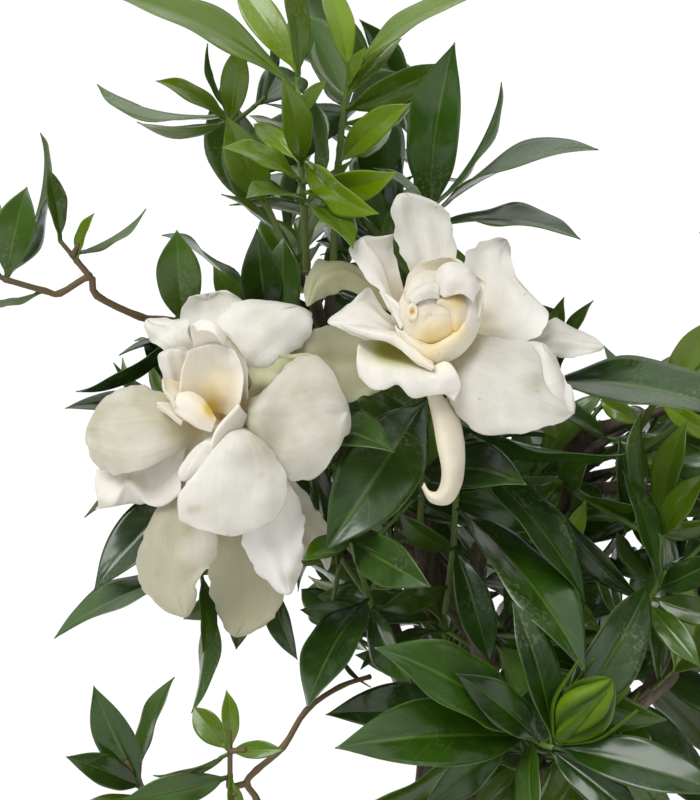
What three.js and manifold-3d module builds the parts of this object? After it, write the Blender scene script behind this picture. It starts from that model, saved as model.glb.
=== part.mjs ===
// A gardenia in flower in a plain terracotta pot. Millimetres, +Z up.
// The origin is the middle of the pot's underside. The plant is looked at along +Y, from a little above.
import * as THREE from 'three';
import { mergeVertices } from 'three/addons/utils/BufferGeometryUtils.js';
import Module from 'manifold-3d';

const wasm = await Module();
wasm.setup();

const DEGREE = Math.PI / 180;
const GAP = 0.3; // between two pieces that touch
const WELD = 0.03; // edges shorter than this are drawn together

// Pot, with its soil
const POT_HEIGHT = 150;
const POT_TOP_RADIUS = 92;
const POT_FOOT_RADIUS = 62;
const POT_WALL = 7;
const POT_FLOOR = 9;
const RIM_HEIGHT = 30;
const RIM_STEP = 4;
const RIM_ROUNDING = 2;
const FOOT_ROUNDING = 3;
const POT_SIDES = 28;
const DRAIN_RADIUS = 6;
const DRAIN_CIRCLE = 30;
const DRAIN_COUNT = 4;
const DRAIN_SIDES = 12;
const SOIL_EDGE_HEIGHT = 129;
const SOIL_RISE = [[0.9, 3], [0.4, 5], [0, 6]]; // [share of the soil's radius, height above its edge]

// Woody parts
const TRUNK_RADIUS = 8;
const TRUNK_TAPER = [1, 1, 0.9, 0.75];
const TRUNK_FOOT_HEIGHT = 84;
const TRUNK_SIDES = 8;
const TRUNK_HOLE_SIDES = 10;
const LIMB_FOOT_RADIUS = 5.5;
const LIMB_SIDES = 6;
const TWIG_RADIUS = 2.5;
const STEM_RADIUS = 1.7;
const SIDE_STEM_RADIUS = 1.4;
const STEM_TIP_RADIUS = 1.1;
const STEM_SIDES = 4;
const TWIG_STEP = 38; // between the sections of a twig
const TWIG_PULL = 0.36; // how far a twig runs straight at either end, as a share of its length
const TWIG_LEAST_CLIMB = 12;
const TWIG_TRIES = 24;
const TWIG_CHECKS = 12;

// Leaf blade: its sections as [place along the midrib, share of the full width]
const SECTIONS = [[0.34, 0.82], [0.6, 1], [0.84, 0.58]];
const FAR_SECTIONS = [[0.42, 0.98], [0.78, 0.72]];
const NEAR_LEAF = { sections: SECTIONS, masked: false };
const FAR_LEAF = { sections: FAR_SECTIONS, masked: false };
const RULED_LEAF = { sections: FAR_SECTIONS, masked: true }; // stays behind the drawn foliage
const BLADE_THICKNESS = 1.2;
const BLADE_FOLD = 14 * DEGREE;
const BLADE_ARCH = 0.07; // rise of the midrib, as a share of its length
const ROOT_DEPTH = 1.5; // how far below the end of its stem the topmost leaf is rooted
const LEAF_WIDTH_SHARE = 0.3; // width of a full leaf, as a share of its length
const LEAF_CLEARANCE = 0.3;
const FAR_BACK = -40; // leaves whose tips lie behind this have fewer sections
const CALYX_RADII = [1, 2.6, 4.4];
const CALYX_SIDES = 8;

// Petals
const PETAL_THICKNESS = 1.1;
const PETAL_BASE_WIDTH = 4;
const HEART_RADIUS = 6.5;
const SIDE_ROLL_START = 0.5; // a petal's rim rolls back from here on, as a share of its half width
const TIP_ROLL_START = 0.7; // and of its length

// The front of the plant is drawn on a plane that faces the viewer. Its places are [right, up, forward]
// from the middle of the view, and right and up are where the line of sight crosses that plane.
const VIEW_MIDDLE = new THREE.Vector3(-30, -70, 362);
const VIEW_TILT = 12 * DEGREE;
const VIEW_DISTANCE = 500;
const RIGHT = new THREE.Vector3(1, 0, 0);
const UP = new THREE.Vector3(0, Math.sin(VIEW_TILT), Math.cos(VIEW_TILT));
const FORWARD = new THREE.Vector3(0, -Math.cos(VIEW_TILT), Math.sin(VIEW_TILT));

function seen([right, up, forward]) {
  const nearer = 1 - forward / VIEW_DISTANCE;
  return VIEW_MIDDLE.clone()
    .addScaledVector(RIGHT, right * nearer)
    .addScaledVector(UP, up * nearer)
    .addScaledVector(FORWARD, forward);
}

const COLOURS = {
  terracotta: 0xb5653f,
  soil: 0x3b2a1e,
  bark: 0x6b4a33,
  leaf: 0x35591f,
  youngLeaf: 0x5f8a24,
  petal: 0xf1ece0,
  bud: 0x8aa53a,
};

// How a leaf shows itself: its upper face turned up or down, or its underside
const RAISED = 1;
const HUNG = -1;
const UNDER = 2;

// Leafy shoots at the front: stems as points, leaves as [root right, root up, tip right, tip up, tip forward,
// width as seen, how it shows itself]
const FRONT_SHOOTS = {
  shoot_top_left: {
    stems: [[[-17, 41, -44], [-26, 60, -42], [-35, 78, -36], [-37, 88, -36]]],
    leaves: [
      [-37, 82, -58, 96, -18, 6, RAISED], [-38, 85, -76, 94, -62, 4, UNDER],
      [-37, 83, -64, 83, -45, 3, HUNG], [-36, 82, -33, 107, -26, 9, RAISED],
      [-37, 87, -36, 116, -50, 4, RAISED], [-37, 86, -43, 107, -30, 2, UNDER],
      [-36, 82, -31, 104, -48, 3, RAISED], [-26, 59, -37, 85, -20, 13, HUNG],
    ],
  },
  shoot_top_middle: {
    stems: [[[-13, 41, -30], [-14, 60, -24], [-15, 75, -22], [-16, 92, -22], [-15, 105, -22]]],
    leaves: [
      [-16, 92, -71, 122, -4, 12, RAISED], [-16, 98, -34, 125, -30, 11, RAISED],
      [-15, 97, -20, 130, -10, 7, RAISED], [-14, 96, -11, 128, -34, 5, RAISED],
      [-14, 70, -20, 96, 2, 9, RAISED], [-15, 65, -38, 76, 4, 8, RAISED],
      [-16, 71, -29, 83, -34, 7, RAISED], [-14, 59, -31, 61, 14, 7, RAISED],
      [-13, 59, 1, 46, 10, 8, RAISED], [-14, 63, 14, 68, -2, 9, HUNG], [-14, 74, 13, 53, 2, 8, HUNG],
      [-15, 83, -32, 82, -50, 6, HUNG], [-15, 85, -7, 96, -10, 5, RAISED],
    ],
  },
  shoot_top_right: {
    young: true,
    stems: [[[-5, 41, -46], [-4, 66, -44], [-2, 86, -40], [0, 99, -38]]],
    leaves: [
      [-1, 101, -8, 127, -40, 9, RAISED], [-1, 97, 38, 122, -12, 9, RAISED],
      [-1, 90, 14, 110, -34, 7, RAISED], [0, 93, 5, 106, -30, 4, RAISED],
      [-2, 86, 29, 101, -28, 10, HUNG], [-2, 83, 20, 90, -60, 5, HUNG],
      [-1, 91, -11, 107, -52, 2, UNDER], [-3, 71, 18, 89, -20, 10, RAISED],
      [-3, 75, 13, 82, -66, 4, HUNG],
    ],
  },
  shoot_crown_right: {
    stems: [[[23, 30, -52], [23, 44, -40], [24, 53, -34], [25, 59, -34]]],
    leaves: [
      [24, 55, 31, 107, 4, 16, RAISED], [25, 55, 74, 76, 16, 7, RAISED], [24, 52, 69, 49, 2, 9, RAISED],
      [25, 58, 46, 95, -48, 2, UNDER], [23, 48, 37, 40, -32, 5, HUNG], [24, 56, 7, 70, -44, 4, RAISED],
    ],
  },
  shoot_left_upper: {
    stems: [[[-8, 14, -52], [-20, 21, -42], [-33, 25, -34], [-46, 23, -28], [-53, 21, -26]]],
    leaves: [
      [-50, 23, -52, 51, -16, 14, RAISED], [-33, 24, -41, 40, -26, 7, HUNG],
      [-25, 22, -28, 51, -8, 13, RAISED], [-51, 22, -82, 2, -30, 3, HUNG],
      [-28, 23, -56, 50, -72, 2, RAISED], [-18, 20, -20, 49, -40, 13, HUNG],
      [-44, 23, -33, 8, -50, 6, HUNG],
    ],
  },
  shoot_left_twig: {
    stems: [
      [[-15, 12, -62], [-36, 21, -44], [-56, 24, -26], [-63, 25, -20], [-76, 31, -12], [-87, 32, -8],
        [-93, 33, -6], [-103, 36, -2], [-107, 38, 0]],
      [[-76, 31, -12], [-78, 37, -8], [-83, 43, -6], [-88, 49, -4]],
    ],
    leaves: [
      [-103, 36, -97, 64, 4, 12, RAISED], [-106, 38, -109, 64, -10, 9, RAISED],
      [-93, 33, -112, 30, -10, 3, UNDER], [-107, 38, -119, 49, 4, 8, RAISED],
      [-103, 36, -92, 80, -40, 2, UNDER], [-106, 38, -114, 21, 6, 7, HUNG],
      [-88, 49, -91, 70, 2, 5, RAISED], [-83, 43, -77, 56, 2, 4, RAISED],
      [-83, 44, -61, 57, -6, 3, UNDER],
    ],
  },
  shoot_lower_left: {
    stems: [
      [[-20, -138, -34], [-31, -124, -10], [-36, -116, 0], [-36, -104, 5]],
      [[-28, -128, -16], [-28, -120, -8], [-31, -115, -3], [-28, -111, 0], [-20, -104, 0], [-13, -93, -10],
        [-3, -86, -20], [6, -83, -28]],
    ],
    leaves: [
      [-36, -105, -20, -105, 12, 5, RAISED], [-37, -104, -37, -87, 6, 5, RAISED],
      [-37, -104, -47, -92, 0, 8, RAISED], [-37, -106, -59, -113, 8, 4, HUNG],
      [-36, -113, -68, -120, 14, 10, RAISED], [-36, -113, -34, -132, 14, 5, RAISED],
    ],
  },
  shoot_lower_left_tip: {
    stems: [[[-42, -136, -34], [-52, -128, -22], [-60, -124, -14], [-64, -112, -8]]],
    leaves: [
      [-62, -112, -53, -83, -10, 6, RAISED], [-64, -116, -77, -86, 6, 12, RAISED],
      [-63, -117, -85, -107, 10, 8, RAISED], [-63, -112, -69, -103, -14, 3, UNDER],
      [-62, -119, -87, -129, 0, 7, RAISED], [-60, -122, -63, -138, 8, 8, HUNG],
    ],
  },
  shoot_under_left: {
    stems: [[[-6, -48, -56], [-24, -50, -46], [-38, -51, -36], [-46, -52, -30]]],
    leaves: [
      [-42, -53, -89, -71, -20, 7, RAISED], [-45, -53, -47, -94, -24, 7, UNDER],
      [-46, -52, -44, -76, -16, 5, RAISED], [-34, -51, -34, -75, -46, 7, HUNG],
      [-24, -50, -16, -78, -40, 8, HUNG], [-30, -50, -50, -66, -52, 8, HUNG],
    ],
  },
  shoot_behind_left: {
    stems: [[[-6, -20, -62], [-24, -24, -52], [-40, -22, -44], [-46, -6, -40]]],
    leaves: [
      [-42, -22, -77, -57, -20, 15, RAISED], [-41, -21, -78, -40, -30, 5, RAISED],
      [-45, -6, -82, 7, -24, 6, RAISED], [-30, -23, -40, -52, -50, 12, HUNG],
      [-46, -6, -62, 18, -60, 9, RAISED],
    ],
  },
  shoot_bloom_left: {
    stems: [[[7, -30, -62], [-8, -18, -48], [-20, -8, -38], [-36, -4, -30]]],
    calyx: true,
    leaves: [
      [-18, -9, 13, -15, 8, 11, RAISED], [-22, -8, -15, -42, -30, 13, HUNG],
      [-20, -8, -9, -53, -18, 6, RAISED], [-10, -16, -18, 14, -44, 11, RAISED],
    ],
  },
  shoot_bloom_right: {
    stems: [[[21, -38, -62], [22, -20, -44], [23, 0, -34], [25, 16, -27]]],
    calyx: true,
    leaves: [
      [23, 0, -4, -41, 10, 24, RAISED], [22, -21, 56, -32, 6, 13, RAISED],
      [24, -2, 83, -17, -22, 4, HUNG], [23, -9, 0, 3, -40, 9, HUNG], [22, -15, -1, -21, -30, 10, HUNG],
      [24, 4, 55, 22, -40, 11, RAISED],
    ],
  },
  shoot_right_middle: {
    stems: [[[29, -62, -62], [31, -44, -48], [32, -26, -36], [31, -12, -30]]],
    leaves: [
      [31, -12, 71, -60, -12, 13, RAISED], [31, -33, 74, -74, 10, 15, RAISED],
      [31, -12, 51, -6, -40, 7, RAISED], [31, -44, 42, -79, -40, 12, RAISED],
      [30, -50, 50, -73, -52, 9, HUNG], [30, -56, 9, -63, -42, 9, HUNG],
      [31, -45, 15, -34, -26, 8, HUNG],
    ],
  },
  shoot_middle: {
    stems: [[[11, -72, -60], [6, -60, -42], [2, -48, -26], [0, -41, -18]]],
    leaves: [
      [0, -41, 24, -56, 16, 14, RAISED], [1, -42, -17, -53, -2, 7, RAISED],
      [6, -60, -13, -92, 4, 13, RAISED], [7, -62, 18, -85, -10, 10, HUNG],
      [2, -47, -6, -24, -36, 10, HUNG], [5, -57, 21, -48, -40, 8, HUNG],
      [8, -64, -15, -63, -42, 8, RAISED],
    ],
  },
  shoot_bud: {
    stems: [[[36, -96, -62], [45, -98, -36], [54, -101, -12], [60, -104.5, 1.5], [62.4, -101.8, 2.4]]],
    leaves: [
      [60, -103, 57, -61, 10, 11, RAISED], [58, -102, 32, -82, 14, 11, RAISED],
      [55, -100, 8, -74, 24, 15, RAISED], [55, -101, -4, -104, 26, 17, RAISED],
      [60, -104, 112, -118, 24, 13, RAISED], [59, -103, 88, -126, 20, 11, RAISED],
      [56, -100, 56, -130, 16, 7, RAISED], [59, -103, 103, -60, 2, 18, HUNG],
      [48, -99, 22, -122, -6, 12, HUNG], [43, -98, 1, -124, -20, 10, HUNG],
      [42, -97, -7, -94, -20, 13, RAISED],
    ],
  },
  shoot_right_edge: {
    stems: [[[51, -78, -84], [72, -72, -60], [88, -63, -40], [93, -55, -30]]],
    leaves: [
      [93, -56, 93, -40, -14, 5, RAISED], [92, -57, 113, -47, -10, 9, RAISED],
      [93, -56, 82, -21, -34, 9, RAISED], [90, -62, 65, -36, -44, 7, HUNG],
      [90, -62, 105, -80, -20, 9, RAISED], [82, -68, 75, -48, -60, 8, HUNG],
      [91, -60, 114, -66, -26, 9, HUNG], [76, -71, 63, -60, -70, 8, RAISED],
    ],
  },
  shoot_right_high: {
    stems: [[[45, -24, -84], [63, -24, -64], [81, -36, -48], [94, -42, -40]]],
    leaves: [
      [94, -42, 101, -6, -40, 7, RAISED], [94, -42, 87, -3, -54, 9, UNDER],
      [94, -42, 107, -22, -20, 7, RAISED], [63, -24, 92, -19, -46, 7, HUNG],
      [78, -34, 72, -9, -60, 7, RAISED], [87, -39, 113, -36, -44, 7, HUNG],
      [72, -29, 63, -48, -60, 7, HUNG], [55, -24, 78, 0, -80, 8, RAISED],
    ],
  },
  shoot_right_shoulder: {
    stems: [[[36, -12, -80], [45, -3, -60], [54, 4, -40], [63, 7, -34]]],
    leaves: [
      [57, 6, 119, -5, 12, 16, RAISED], [63, 7, 64, 31, -38, 5, RAISED], [63, 7, 70, 31, -30, 4, RAISED],
      [54, 4, 63, -12, -50, 8, HUNG], [49, 1, 78, -12, -70, 7, RAISED],
    ],
  },
  shoot_right_tip: {
    young: true,
    stems: [[[75, -18, -88], [87, -8, -66], [93, 2, -48], [95, 7, -44]]],
    leaves: [
      [94, 5, 110, 25, -30, 10, RAISED], [95, 7, 103, 18, -50, 4, RAISED],
      [94, 4, 76, 16, -60, 4, UNDER], [92, 0, 111, -12, -50, 7, HUNG], [87, -8, 75, 0, -70, 7, RAISED],
      [90, -3, 114, 6, -70, 7, RAISED],
    ],
  },
};

// The rest of the foliage grows by rule. Its shoots are spread over shells of the crown, as [share of its
// radii, count]. Seen from the front it stays behind the drawn foliage, inside these rounds, as [right, up,
// radius], or it lies outside the view, to the right of it, below it or above it.
const CROWN_MIDDLE = new THREE.Vector3(22, 14, 336);
const CROWN_RADII = new THREE.Vector3(142, 116, 158);
const CROWN_SHELLS = [[1, 43], [0.66, 15]];
const CROWN_LIFT = 0.5; // how far a shoot turns up from straight out
const CROWN_FRONT = -52; // no shoot by rule ends nearer to the viewer than this, inside the view
const FOLIAGE_ROUNDS = [
  [-14, 86, 36], [12, 64, 22], [-34, -8, 42], [30, 20, 36], [8, -10, 30], [20, -52, 38], [72, -46, 46],
  [52, -88, 34], [98, -16, 28], [80, -104, 32], [-6, 40, 26],
];
const VIEW_HALF_WIDTH = 105;
const VIEW_HALF_HEIGHT = 120;
const RULED_SHOOT_LENGTH = 54;
const RULED_LEAF_LENGTH = 58;
const RULED_PAIR_STEP = 15;
const RULED_LEAST_LEAVES = 3;
const RULED_SEED = 7;
const LEAF_CHECKS = [0.35, 0.7, 1]; // where along a leaf its place is checked
const STEM_CHECKS = 8;
const RULED_DROOP = 0.12; // how far a shoot sags over its length
const RULED_LEAF_WIDTH_SHARE = 0.34;
const RULED_SPREAD = 44; // degrees between a shoot and its topmost leaves
const RULED_SPREAD_STEP = 10; // more at each pair below
const RULED_SPREAD_RANGE = 14;
const RULED_TURN_RANGE = 24;
const RULED_LENGTHS = [0.72, 0.84, 0.96]; // shares of the full length, from the topmost pair down
const RULED_LENGTH_RANGE = 0.24;

// Limbs from the trunk's head, in the part's own frame
const TRUNK = [[0, 0, TRUNK_FOOT_HEIGHT], [0, 0, 140], [-3, 3, 176], [3, 6, 214]];
const LIMBS = [
  [[3, 6, 214], [-16, 0, 262], [-34, -4, 320], [-38, 0, 372]],
  [[3, 6, 214], [26, 6, 262], [44, 6, 308], [50, 8, 345]],
  [[-2, 4, 186], [8, -20, 222], [14, -32, 262], [12, -30, 306]],
  [[3, 6, 214], [4, 40, 262], [-4, 62, 318], [0, 66, 372]],
  [[3, 6, 214], [-2, 14, 290], [-12, 18, 340], [-11, 17, 372]],
  [[-2, 4, 186], [44, -8, 214], [84, -10, 252]],
  [[-2, 4, 186], [-34, -16, 182], [-58, -40, 194]],
  [[-2, 4, 186], [0, 46, 204], [4, 84, 236]],
];

// Petals: the outline as [right, up, forward] from the base round the tip and back, then how far the blade
// swells towards the viewer beside its first and its second edge, and how far its rim rolls back
const BLOOMS = {
  bloom_right: {
    heart: [26, 22, -14],
    outer: [
      { edge: [[19, 35, -4], [14, 48, -2], [13, 58, 0], [17, 62, -3], [26, 59, -6], [31, 52, -8],
        [31, 35, -8]], swell: [-2, -3], roll: 2 },
      { edge: [[13, 23, 6], [7, 33, 6], [1, 44, 4], [4, 49, 0], [10, 49, -4], [14, 47, -6],
        [16, 33, -6]], swell: [3, -6], roll: 1 },
      { edge: [[6, 29, -14], [-1, 33, -16], [-8, 31, -14], [-13, 28, -8], [-13, 37, -18], [-7, 42, -22],
        [5, 38, -20]], swell: [3, 5], roll: 0 },
      { edge: [[15, 17, 2], [6, 19, 4], [-1, 21, 4], [-6, 24, 2], [0, 29, 0], [6, 33, -2], [14, 25, 0]],
        swell: [3, -3], roll: 1 },
      { edge: [[18, 17, 0], [9, 18, -2], [3, 17, 1], [2, 12, 8], [5, 4, 13], [17, 2, 16], [30, 4, 14]],
        swell: [-10, 9], roll: 2 },
      { edge: [[24, -1, 0], [27, -18, 4], [27, -27, 2], [21, -25, 8], [28, -32, 6], [35, -20, 4],
        [33, -4, 0]], swell: [4, 4], roll: 0 },
      { edge: [[30, 0, 6], [38, -9, 10], [52, -10, 8], [67, -4, 2], [64, 8, -2], [58, 17, -2],
        [42, 19, 2]], swell: [4, 2], roll: 2 },
      { edge: [[34, 33, -8], [34, 42, -10], [39, 47, -12], [47, 48, -14], [50, 37, -12], [60, 25, -12],
        [51, 17, -8]], swell: [-3, -2], roll: 1 },
      { edge: [[51, 21, -18], [60, 24, -19], [68, 22, -18], [76, 16, -14], [70, 13, -16], [62, 13, -17],
        [51, 12, -16]], swell: [2, 2], roll: 0 },
    ],
    inner: [
      { edge: [[18, 25, 4], [16, 32, 6], [19, 39, 6], [27, 42, 8], [34, 40, 8], [40, 33, 10],
        [37, 23, 8]], swell: [-6, -6], roll: 1 },
      { edge: [[30, 29, 8], [33, 36, 12], [37, 35, 14], [40, 27, 14], [38, 18, 14], [33, 13, 14],
        [28, 16, 8]], swell: [-5, -5], roll: 1 },
      { edge: [[20, 21, 10], [18, 17, 16], [22, 12, 18], [28, 11, 18], [34, 14, 17], [37, 19, 14],
        [33, 22, 8]], swell: [-4, -4], roll: 1 },
      { edge: [[20, 20, 8], [16, 23, 12], [15, 29, 14], [17, 35, 14], [21, 35, 12], [24, 31, 10],
        [25, 27, 6]], swell: [-4, -4], roll: 1 },
      { edge: [[21, 25, 10], [20, 31, 14], [22, 36, 14], [27, 37, 14], [30, 33, 12], [31, 28, 12],
        [30, 24, 8]], swell: [4, 4], roll: 0 },
      { edge: [[18, 23, 13], [17, 26, 17], [17, 29, 17], [19, 30, 17], [21, 28, 16], [22, 26, 16],
        [22, 24, 12]], swell: [-2, -2], roll: 0 },
      { edge: [[22, 19, 8], [20, 22, 10], [22, 27, 8], [28, 29, 8], [34, 27, 10], [35, 22, 12],
        [31, 18, 8]], swell: [-4, -4], roll: 0 },
    ],
  },
  bloom_left: {
    heart: [-38, -4, -16],
    outer: [
      { edge: [[-40, 14, -6], [-39, 25, -8], [-31, 30, -8], [-15, 28, -10], [-11, 23, -8], [-15, 16, -6],
        [-26, 9, -4]], swell: [2, 3], roll: 1 },
      { edge: [[-48, 17, -10], [-51, 25, -12], [-48, 31, -12], [-42, 30, -14], [-37, 33, -14],
        [-33, 29, -12], [-33, 17, -8]], swell: [-3, -2], roll: 1 },
      { edge: [[-55, 14, -8], [-60, 17, -10], [-62, 21, -10], [-61, 24, -10], [-55, 24, -10],
        [-50, 24, -10], [-47, 17, -6]], swell: [2, 2], roll: 1 },
      { edge: [[-54, 0, -2], [-56, 6, 0], [-57, 13, 2], [-53, 15, 2], [-48, 15, 2], [-46, 10, 0],
        [-46, 2, -4]], swell: [3, -3], roll: 1 },
      { edge: [[-53, 1, 0], [-63, 5, 0], [-73, 1, -2], [-79, -9, -2], [-77, -18, 0], [-66, -22, 4],
        [-51, -15, 4]], swell: [3, 4], roll: 2 },
      { edge: [[-53, -15, -6], [-66, -20, -8], [-75, -21, -10], [-77, -28, -8], [-69, -33, -4],
        [-57, -31, -2], [-45, -21, 0]], swell: [-3, 3], roll: 1 },
      { edge: [[-57, -31, -6], [-64, -48, -6], [-60, -59, -4], [-49, -65, 0], [-45, -54, -2],
        [-40, -45, -2], [-41, -31, -4]], swell: [3, 3], roll: 1 },
      { edge: [[-41, -40, -14], [-42, -54, -18], [-40, -65, -18], [-34, -71, -18], [-24, -66, -16],
        [-20, -57, -14], [-26, -37, -10]], swell: [-3, -3], roll: 1 },
      { edge: [[-33, -36, -6], [-31, -47, -4], [-24, -56, -4], [-18, -58, -2], [-15, -48, -2],
        [-14, -36, -4], [-20, -22, -4]], swell: [4, 3], roll: 1 },
      { edge: [[-22, -36, -12], [-15, -48, -12], [-10, -47, -12], [-7, -51, -8], [-5, -41, -13],
        [-10, -31, -13], [-19, -22, -9]], swell: [2, 2], roll: 0 },
      { edge: [[-43, -17, 10], [-52, -27, 14], [-50, -37, 12], [-37, -41, 10], [-24, -36, 10],
        [-19, -24, 10], [-26, -12, 10]], swell: [6, 6], roll: 3 },
      { edge: [[-28, 2, 2], [-19, 11, 0], [-8, 12, 0], [-1, -3, 2], [-5, -17, 6], [-18, -24, 8],
        [-28, -13, 8]], swell: [3, 4], roll: 2 },
      { edge: [[-18, 14, -10], [-6, 22, -12], [4, 18, -12], [10, 6, -10], [5, 1, -10], [-2, 0, -10],
        [-9, 8, -6]], swell: [-2, -2], roll: 1 },
    ],
    inner: [
      { edge: [[-48, 4, 2], [-48, 13, 4], [-45, 20, 4], [-41, 21, 4], [-35, 17, 4], [-31, 9, 4],
        [-31, 0, 2]], swell: [-5, -5], roll: 1 },
      { edge: [[-33, 1, 4], [-31, 8, 8], [-27, 7, 10], [-23, 2, 10], [-25, -5, 10], [-30, -8, 8],
        [-34, -9, 6]], swell: [3, 3], roll: 1 },
      { edge: [[-46, -9, 8], [-51, -5, 12], [-51, 0, 13], [-46, 2, 12], [-42, 1, 11], [-41, -3, 10],
        [-39, -5, 8]], swell: [4, 4], roll: 0 },
      { edge: [[-41, -7, 12], [-42, -12, 16], [-41, -15, 17], [-39, -16, 17], [-37, -12, 16],
        [-35, -8, 14], [-34, -4, 12]], swell: [3, 3], roll: 0 },
      { edge: [[-44, -4, 2], [-44, 2, 4], [-41, 5, 4], [-37, 6, 4], [-33, 3, 4], [-33, -2, 4],
        [-36, -6, 2]], swell: [-4, -4], roll: 0 },
      { edge: [[-48, -8, 4], [-53, -3, 6], [-57, 1, 8], [-58, -2, 8], [-56, -6, 6], [-51, -10, 6],
        [-45, -11, 4]], swell: [2, 2], roll: 0 },
      { edge: [[-44, -12, 6], [-48, -15, 8], [-51, -21, 8], [-50, -25, 8], [-45, -22, 10],
        [-41, -18, 10], [-37, -14, 10]], swell: [2, 3], roll: 0 },
    ],
  },
};
const OUTER_CELLS = 4;
const INNER_CELLS = 3;

// Flower bud: sections as [place along the axis, radius], twisted, with narrow sepals round it
const BUD_LENGTH = 24;
const BUD_SECTIONS = [[0, 1.6], [0.12, 3.4], [0.35, 6.2], [0.6, 6.6], [0.82, 4.4], [0.96, 1.8]];
const BUD_LOBES = 5;
const BUD_LOBE_DEPTH = 0.14;
const BUD_SIDES = 10;
const BUD_TWIST = 70 * DEGREE;
const SEPAL_LENGTH = 21;
const SEPAL_WIDTH = 3.4;
const SEPAL_LEAN = 24 * DEGREE;
const SEPAL_ROOT = 2; // above the foot of the bud

// Repeatable random numbers from 0 to 1
function seeded(seed) {
  let state = seed;
  return () => {
    state = (state * 16807) % 2147483647;
    return state / 2147483647;
  };
}

// Solids

function closedSolid(points, triangles) {
  const vertices = new Float32Array(points.flatMap((p) => [p.x, p.y, p.z]));
  let corners = triangles.flat();
  if (signedVolume(points, triangles) < 0) {
    corners = triangles.flatMap(([a, b, c]) => [a, c, b]);
  }
  return new wasm.Manifold(new wasm.Mesh({
    numProp: 3,
    vertProperties: vertices,
    triVerts: new Uint32Array(corners),
  }));
}

function signedVolume(points, triangles) {
  const normal = new THREE.Vector3();
  return triangles.reduce((sum, [a, b, c]) => {
    normal.crossVectors(points[b], points[c]);
    return sum + points[a].dot(normal) / 6;
  }, 0);
}

function solidOf(geometry) {
  const bare = geometry.clone();
  bare.deleteAttribute('normal');
  bare.deleteAttribute('uv');
  const merged = mergeVertices(bare, 1e-4);
  return new wasm.Manifold(new wasm.Mesh({
    numProp: 3,
    vertProperties: new Float32Array(merged.attributes.position.array),
    triVerts: new Uint32Array(merged.index.array),
  }));
}

function joined(solids) {
  return solids.reduce((sum, solid) => sum.add(solid));
}

// Joins leave very short edges. Each is drawn together to one of its ends, where the surface stays closed.
function welded(solid) {
  const { vertProperties, triVerts } = solid.getMesh();
  const corner = (i) => new THREE.Vector3().fromArray(vertProperties, 3 * i);
  const points = Array.from({ length: vertProperties.length / 3 }, (_, i) => corner(i));
  const corners = (i) => [...triVerts.slice(3 * i, 3 * i + 3)];
  let triangles = Array.from({ length: triVerts.length / 3 }, (_, i) => corners(i));
  let short = shortEdge(points, triangles);
  while (short) {
    const [kept, dropped] = short;
    triangles = triangles
      .map((three) => three.map((c) => (c === dropped ? kept : c)))
      .filter(([a, b, c]) => a !== b && b !== c && a !== c);
    short = shortEdge(points, triangles);
  }
  return { points, triangles };
}

function shortEdge(points, triangles) {
  for (const corners of triangles) {
    for (let k = 0; k < 3; k += 1) {
      const a = corners[k];
      const b = corners[(k + 1) % 3];
      if (points[a].distanceTo(points[b]) < WELD && mayClose(a, b, triangles)) {
        return [a, b];
      }
    }
  }
  return null;
}

// An edge may go if its ends share no neighbours but the two corners across it
function mayClose(a, b, triangles) {
  const around = (end) => new Set(triangles.filter((corners) => corners.includes(end)).flat());
  const nearA = around(a);
  const shared = [...around(b)].filter((corner) => nearA.has(corner) && corner !== a && corner !== b);
  return shared.length === 2;
}

function meshOf(solid, name, colour, roughness, origin = new THREE.Vector3()) {
  const { points, triangles } = welded(solid);
  const geometry = new THREE.BufferGeometry().setFromPoints(points);
  geometry.setIndex(triangles.flat());
  geometry.translate(-origin.x, -origin.y, -origin.z);
  geometry.computeVertexNormals();
  const material = new THREE.MeshStandardMaterial({ color: colour, roughness, metalness: 0 });
  const mesh = new THREE.Mesh(geometry, material);
  mesh.name = name;
  mesh.position.copy(origin);
  return mesh;
}

// A round stem along points, with a radius at each of them and a flat end at both ends.
// The face at its end stands square to endHeading, where that is given.
function stem(points, radii, sides = STEM_SIDES, endHeading = null) {
  const vertices = [];
  const last = points.length - 1;
  let across = new THREE.Vector3(0.3, 1, 0.2);
  points.forEach((point, i) => {
    const run = points[Math.min(last, i + 1)].clone().sub(points[Math.max(0, i - 1)]).normalize();
    const along = i === last && endHeading ? endHeading : run;
    across = across.clone().addScaledVector(along, -across.dot(along)).normalize();
    const other = new THREE.Vector3().crossVectors(along, across);
    for (let k = 0; k < sides; k += 1) {
      const turn = (2 * Math.PI * k) / sides;
      vertices.push(point.clone()
        .addScaledVector(across, radii[i] * Math.cos(turn))
        .addScaledVector(other, radii[i] * Math.sin(turn)));
    }
  });
  return closedSolid(vertices, tubeTriangles(points.length, sides));
}

function tubeTriangles(rings, sides) {
  const triangles = [];
  const last = (rings - 1) * sides;
  for (let k = 0; k < sides; k += 1) {
    const next = (k + 1) % sides;
    for (let ring = 0; ring < rings - 1; ring += 1) {
      const low = ring * sides;
      const high = low + sides;
      triangles.push([low + k, low + next, high + next], [low + k, high + next, high + k]);
    }
    if (k > 0 && k < sides - 1) {
      triangles.push([0, next, k], [last, last + k, last + next]);
    }
  }
  return triangles;
}

function evenRadii(count, from, to) {
  return Array.from({ length: count }, (_, i) => from + ((to - from) * i) / (count - 1));
}

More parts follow.
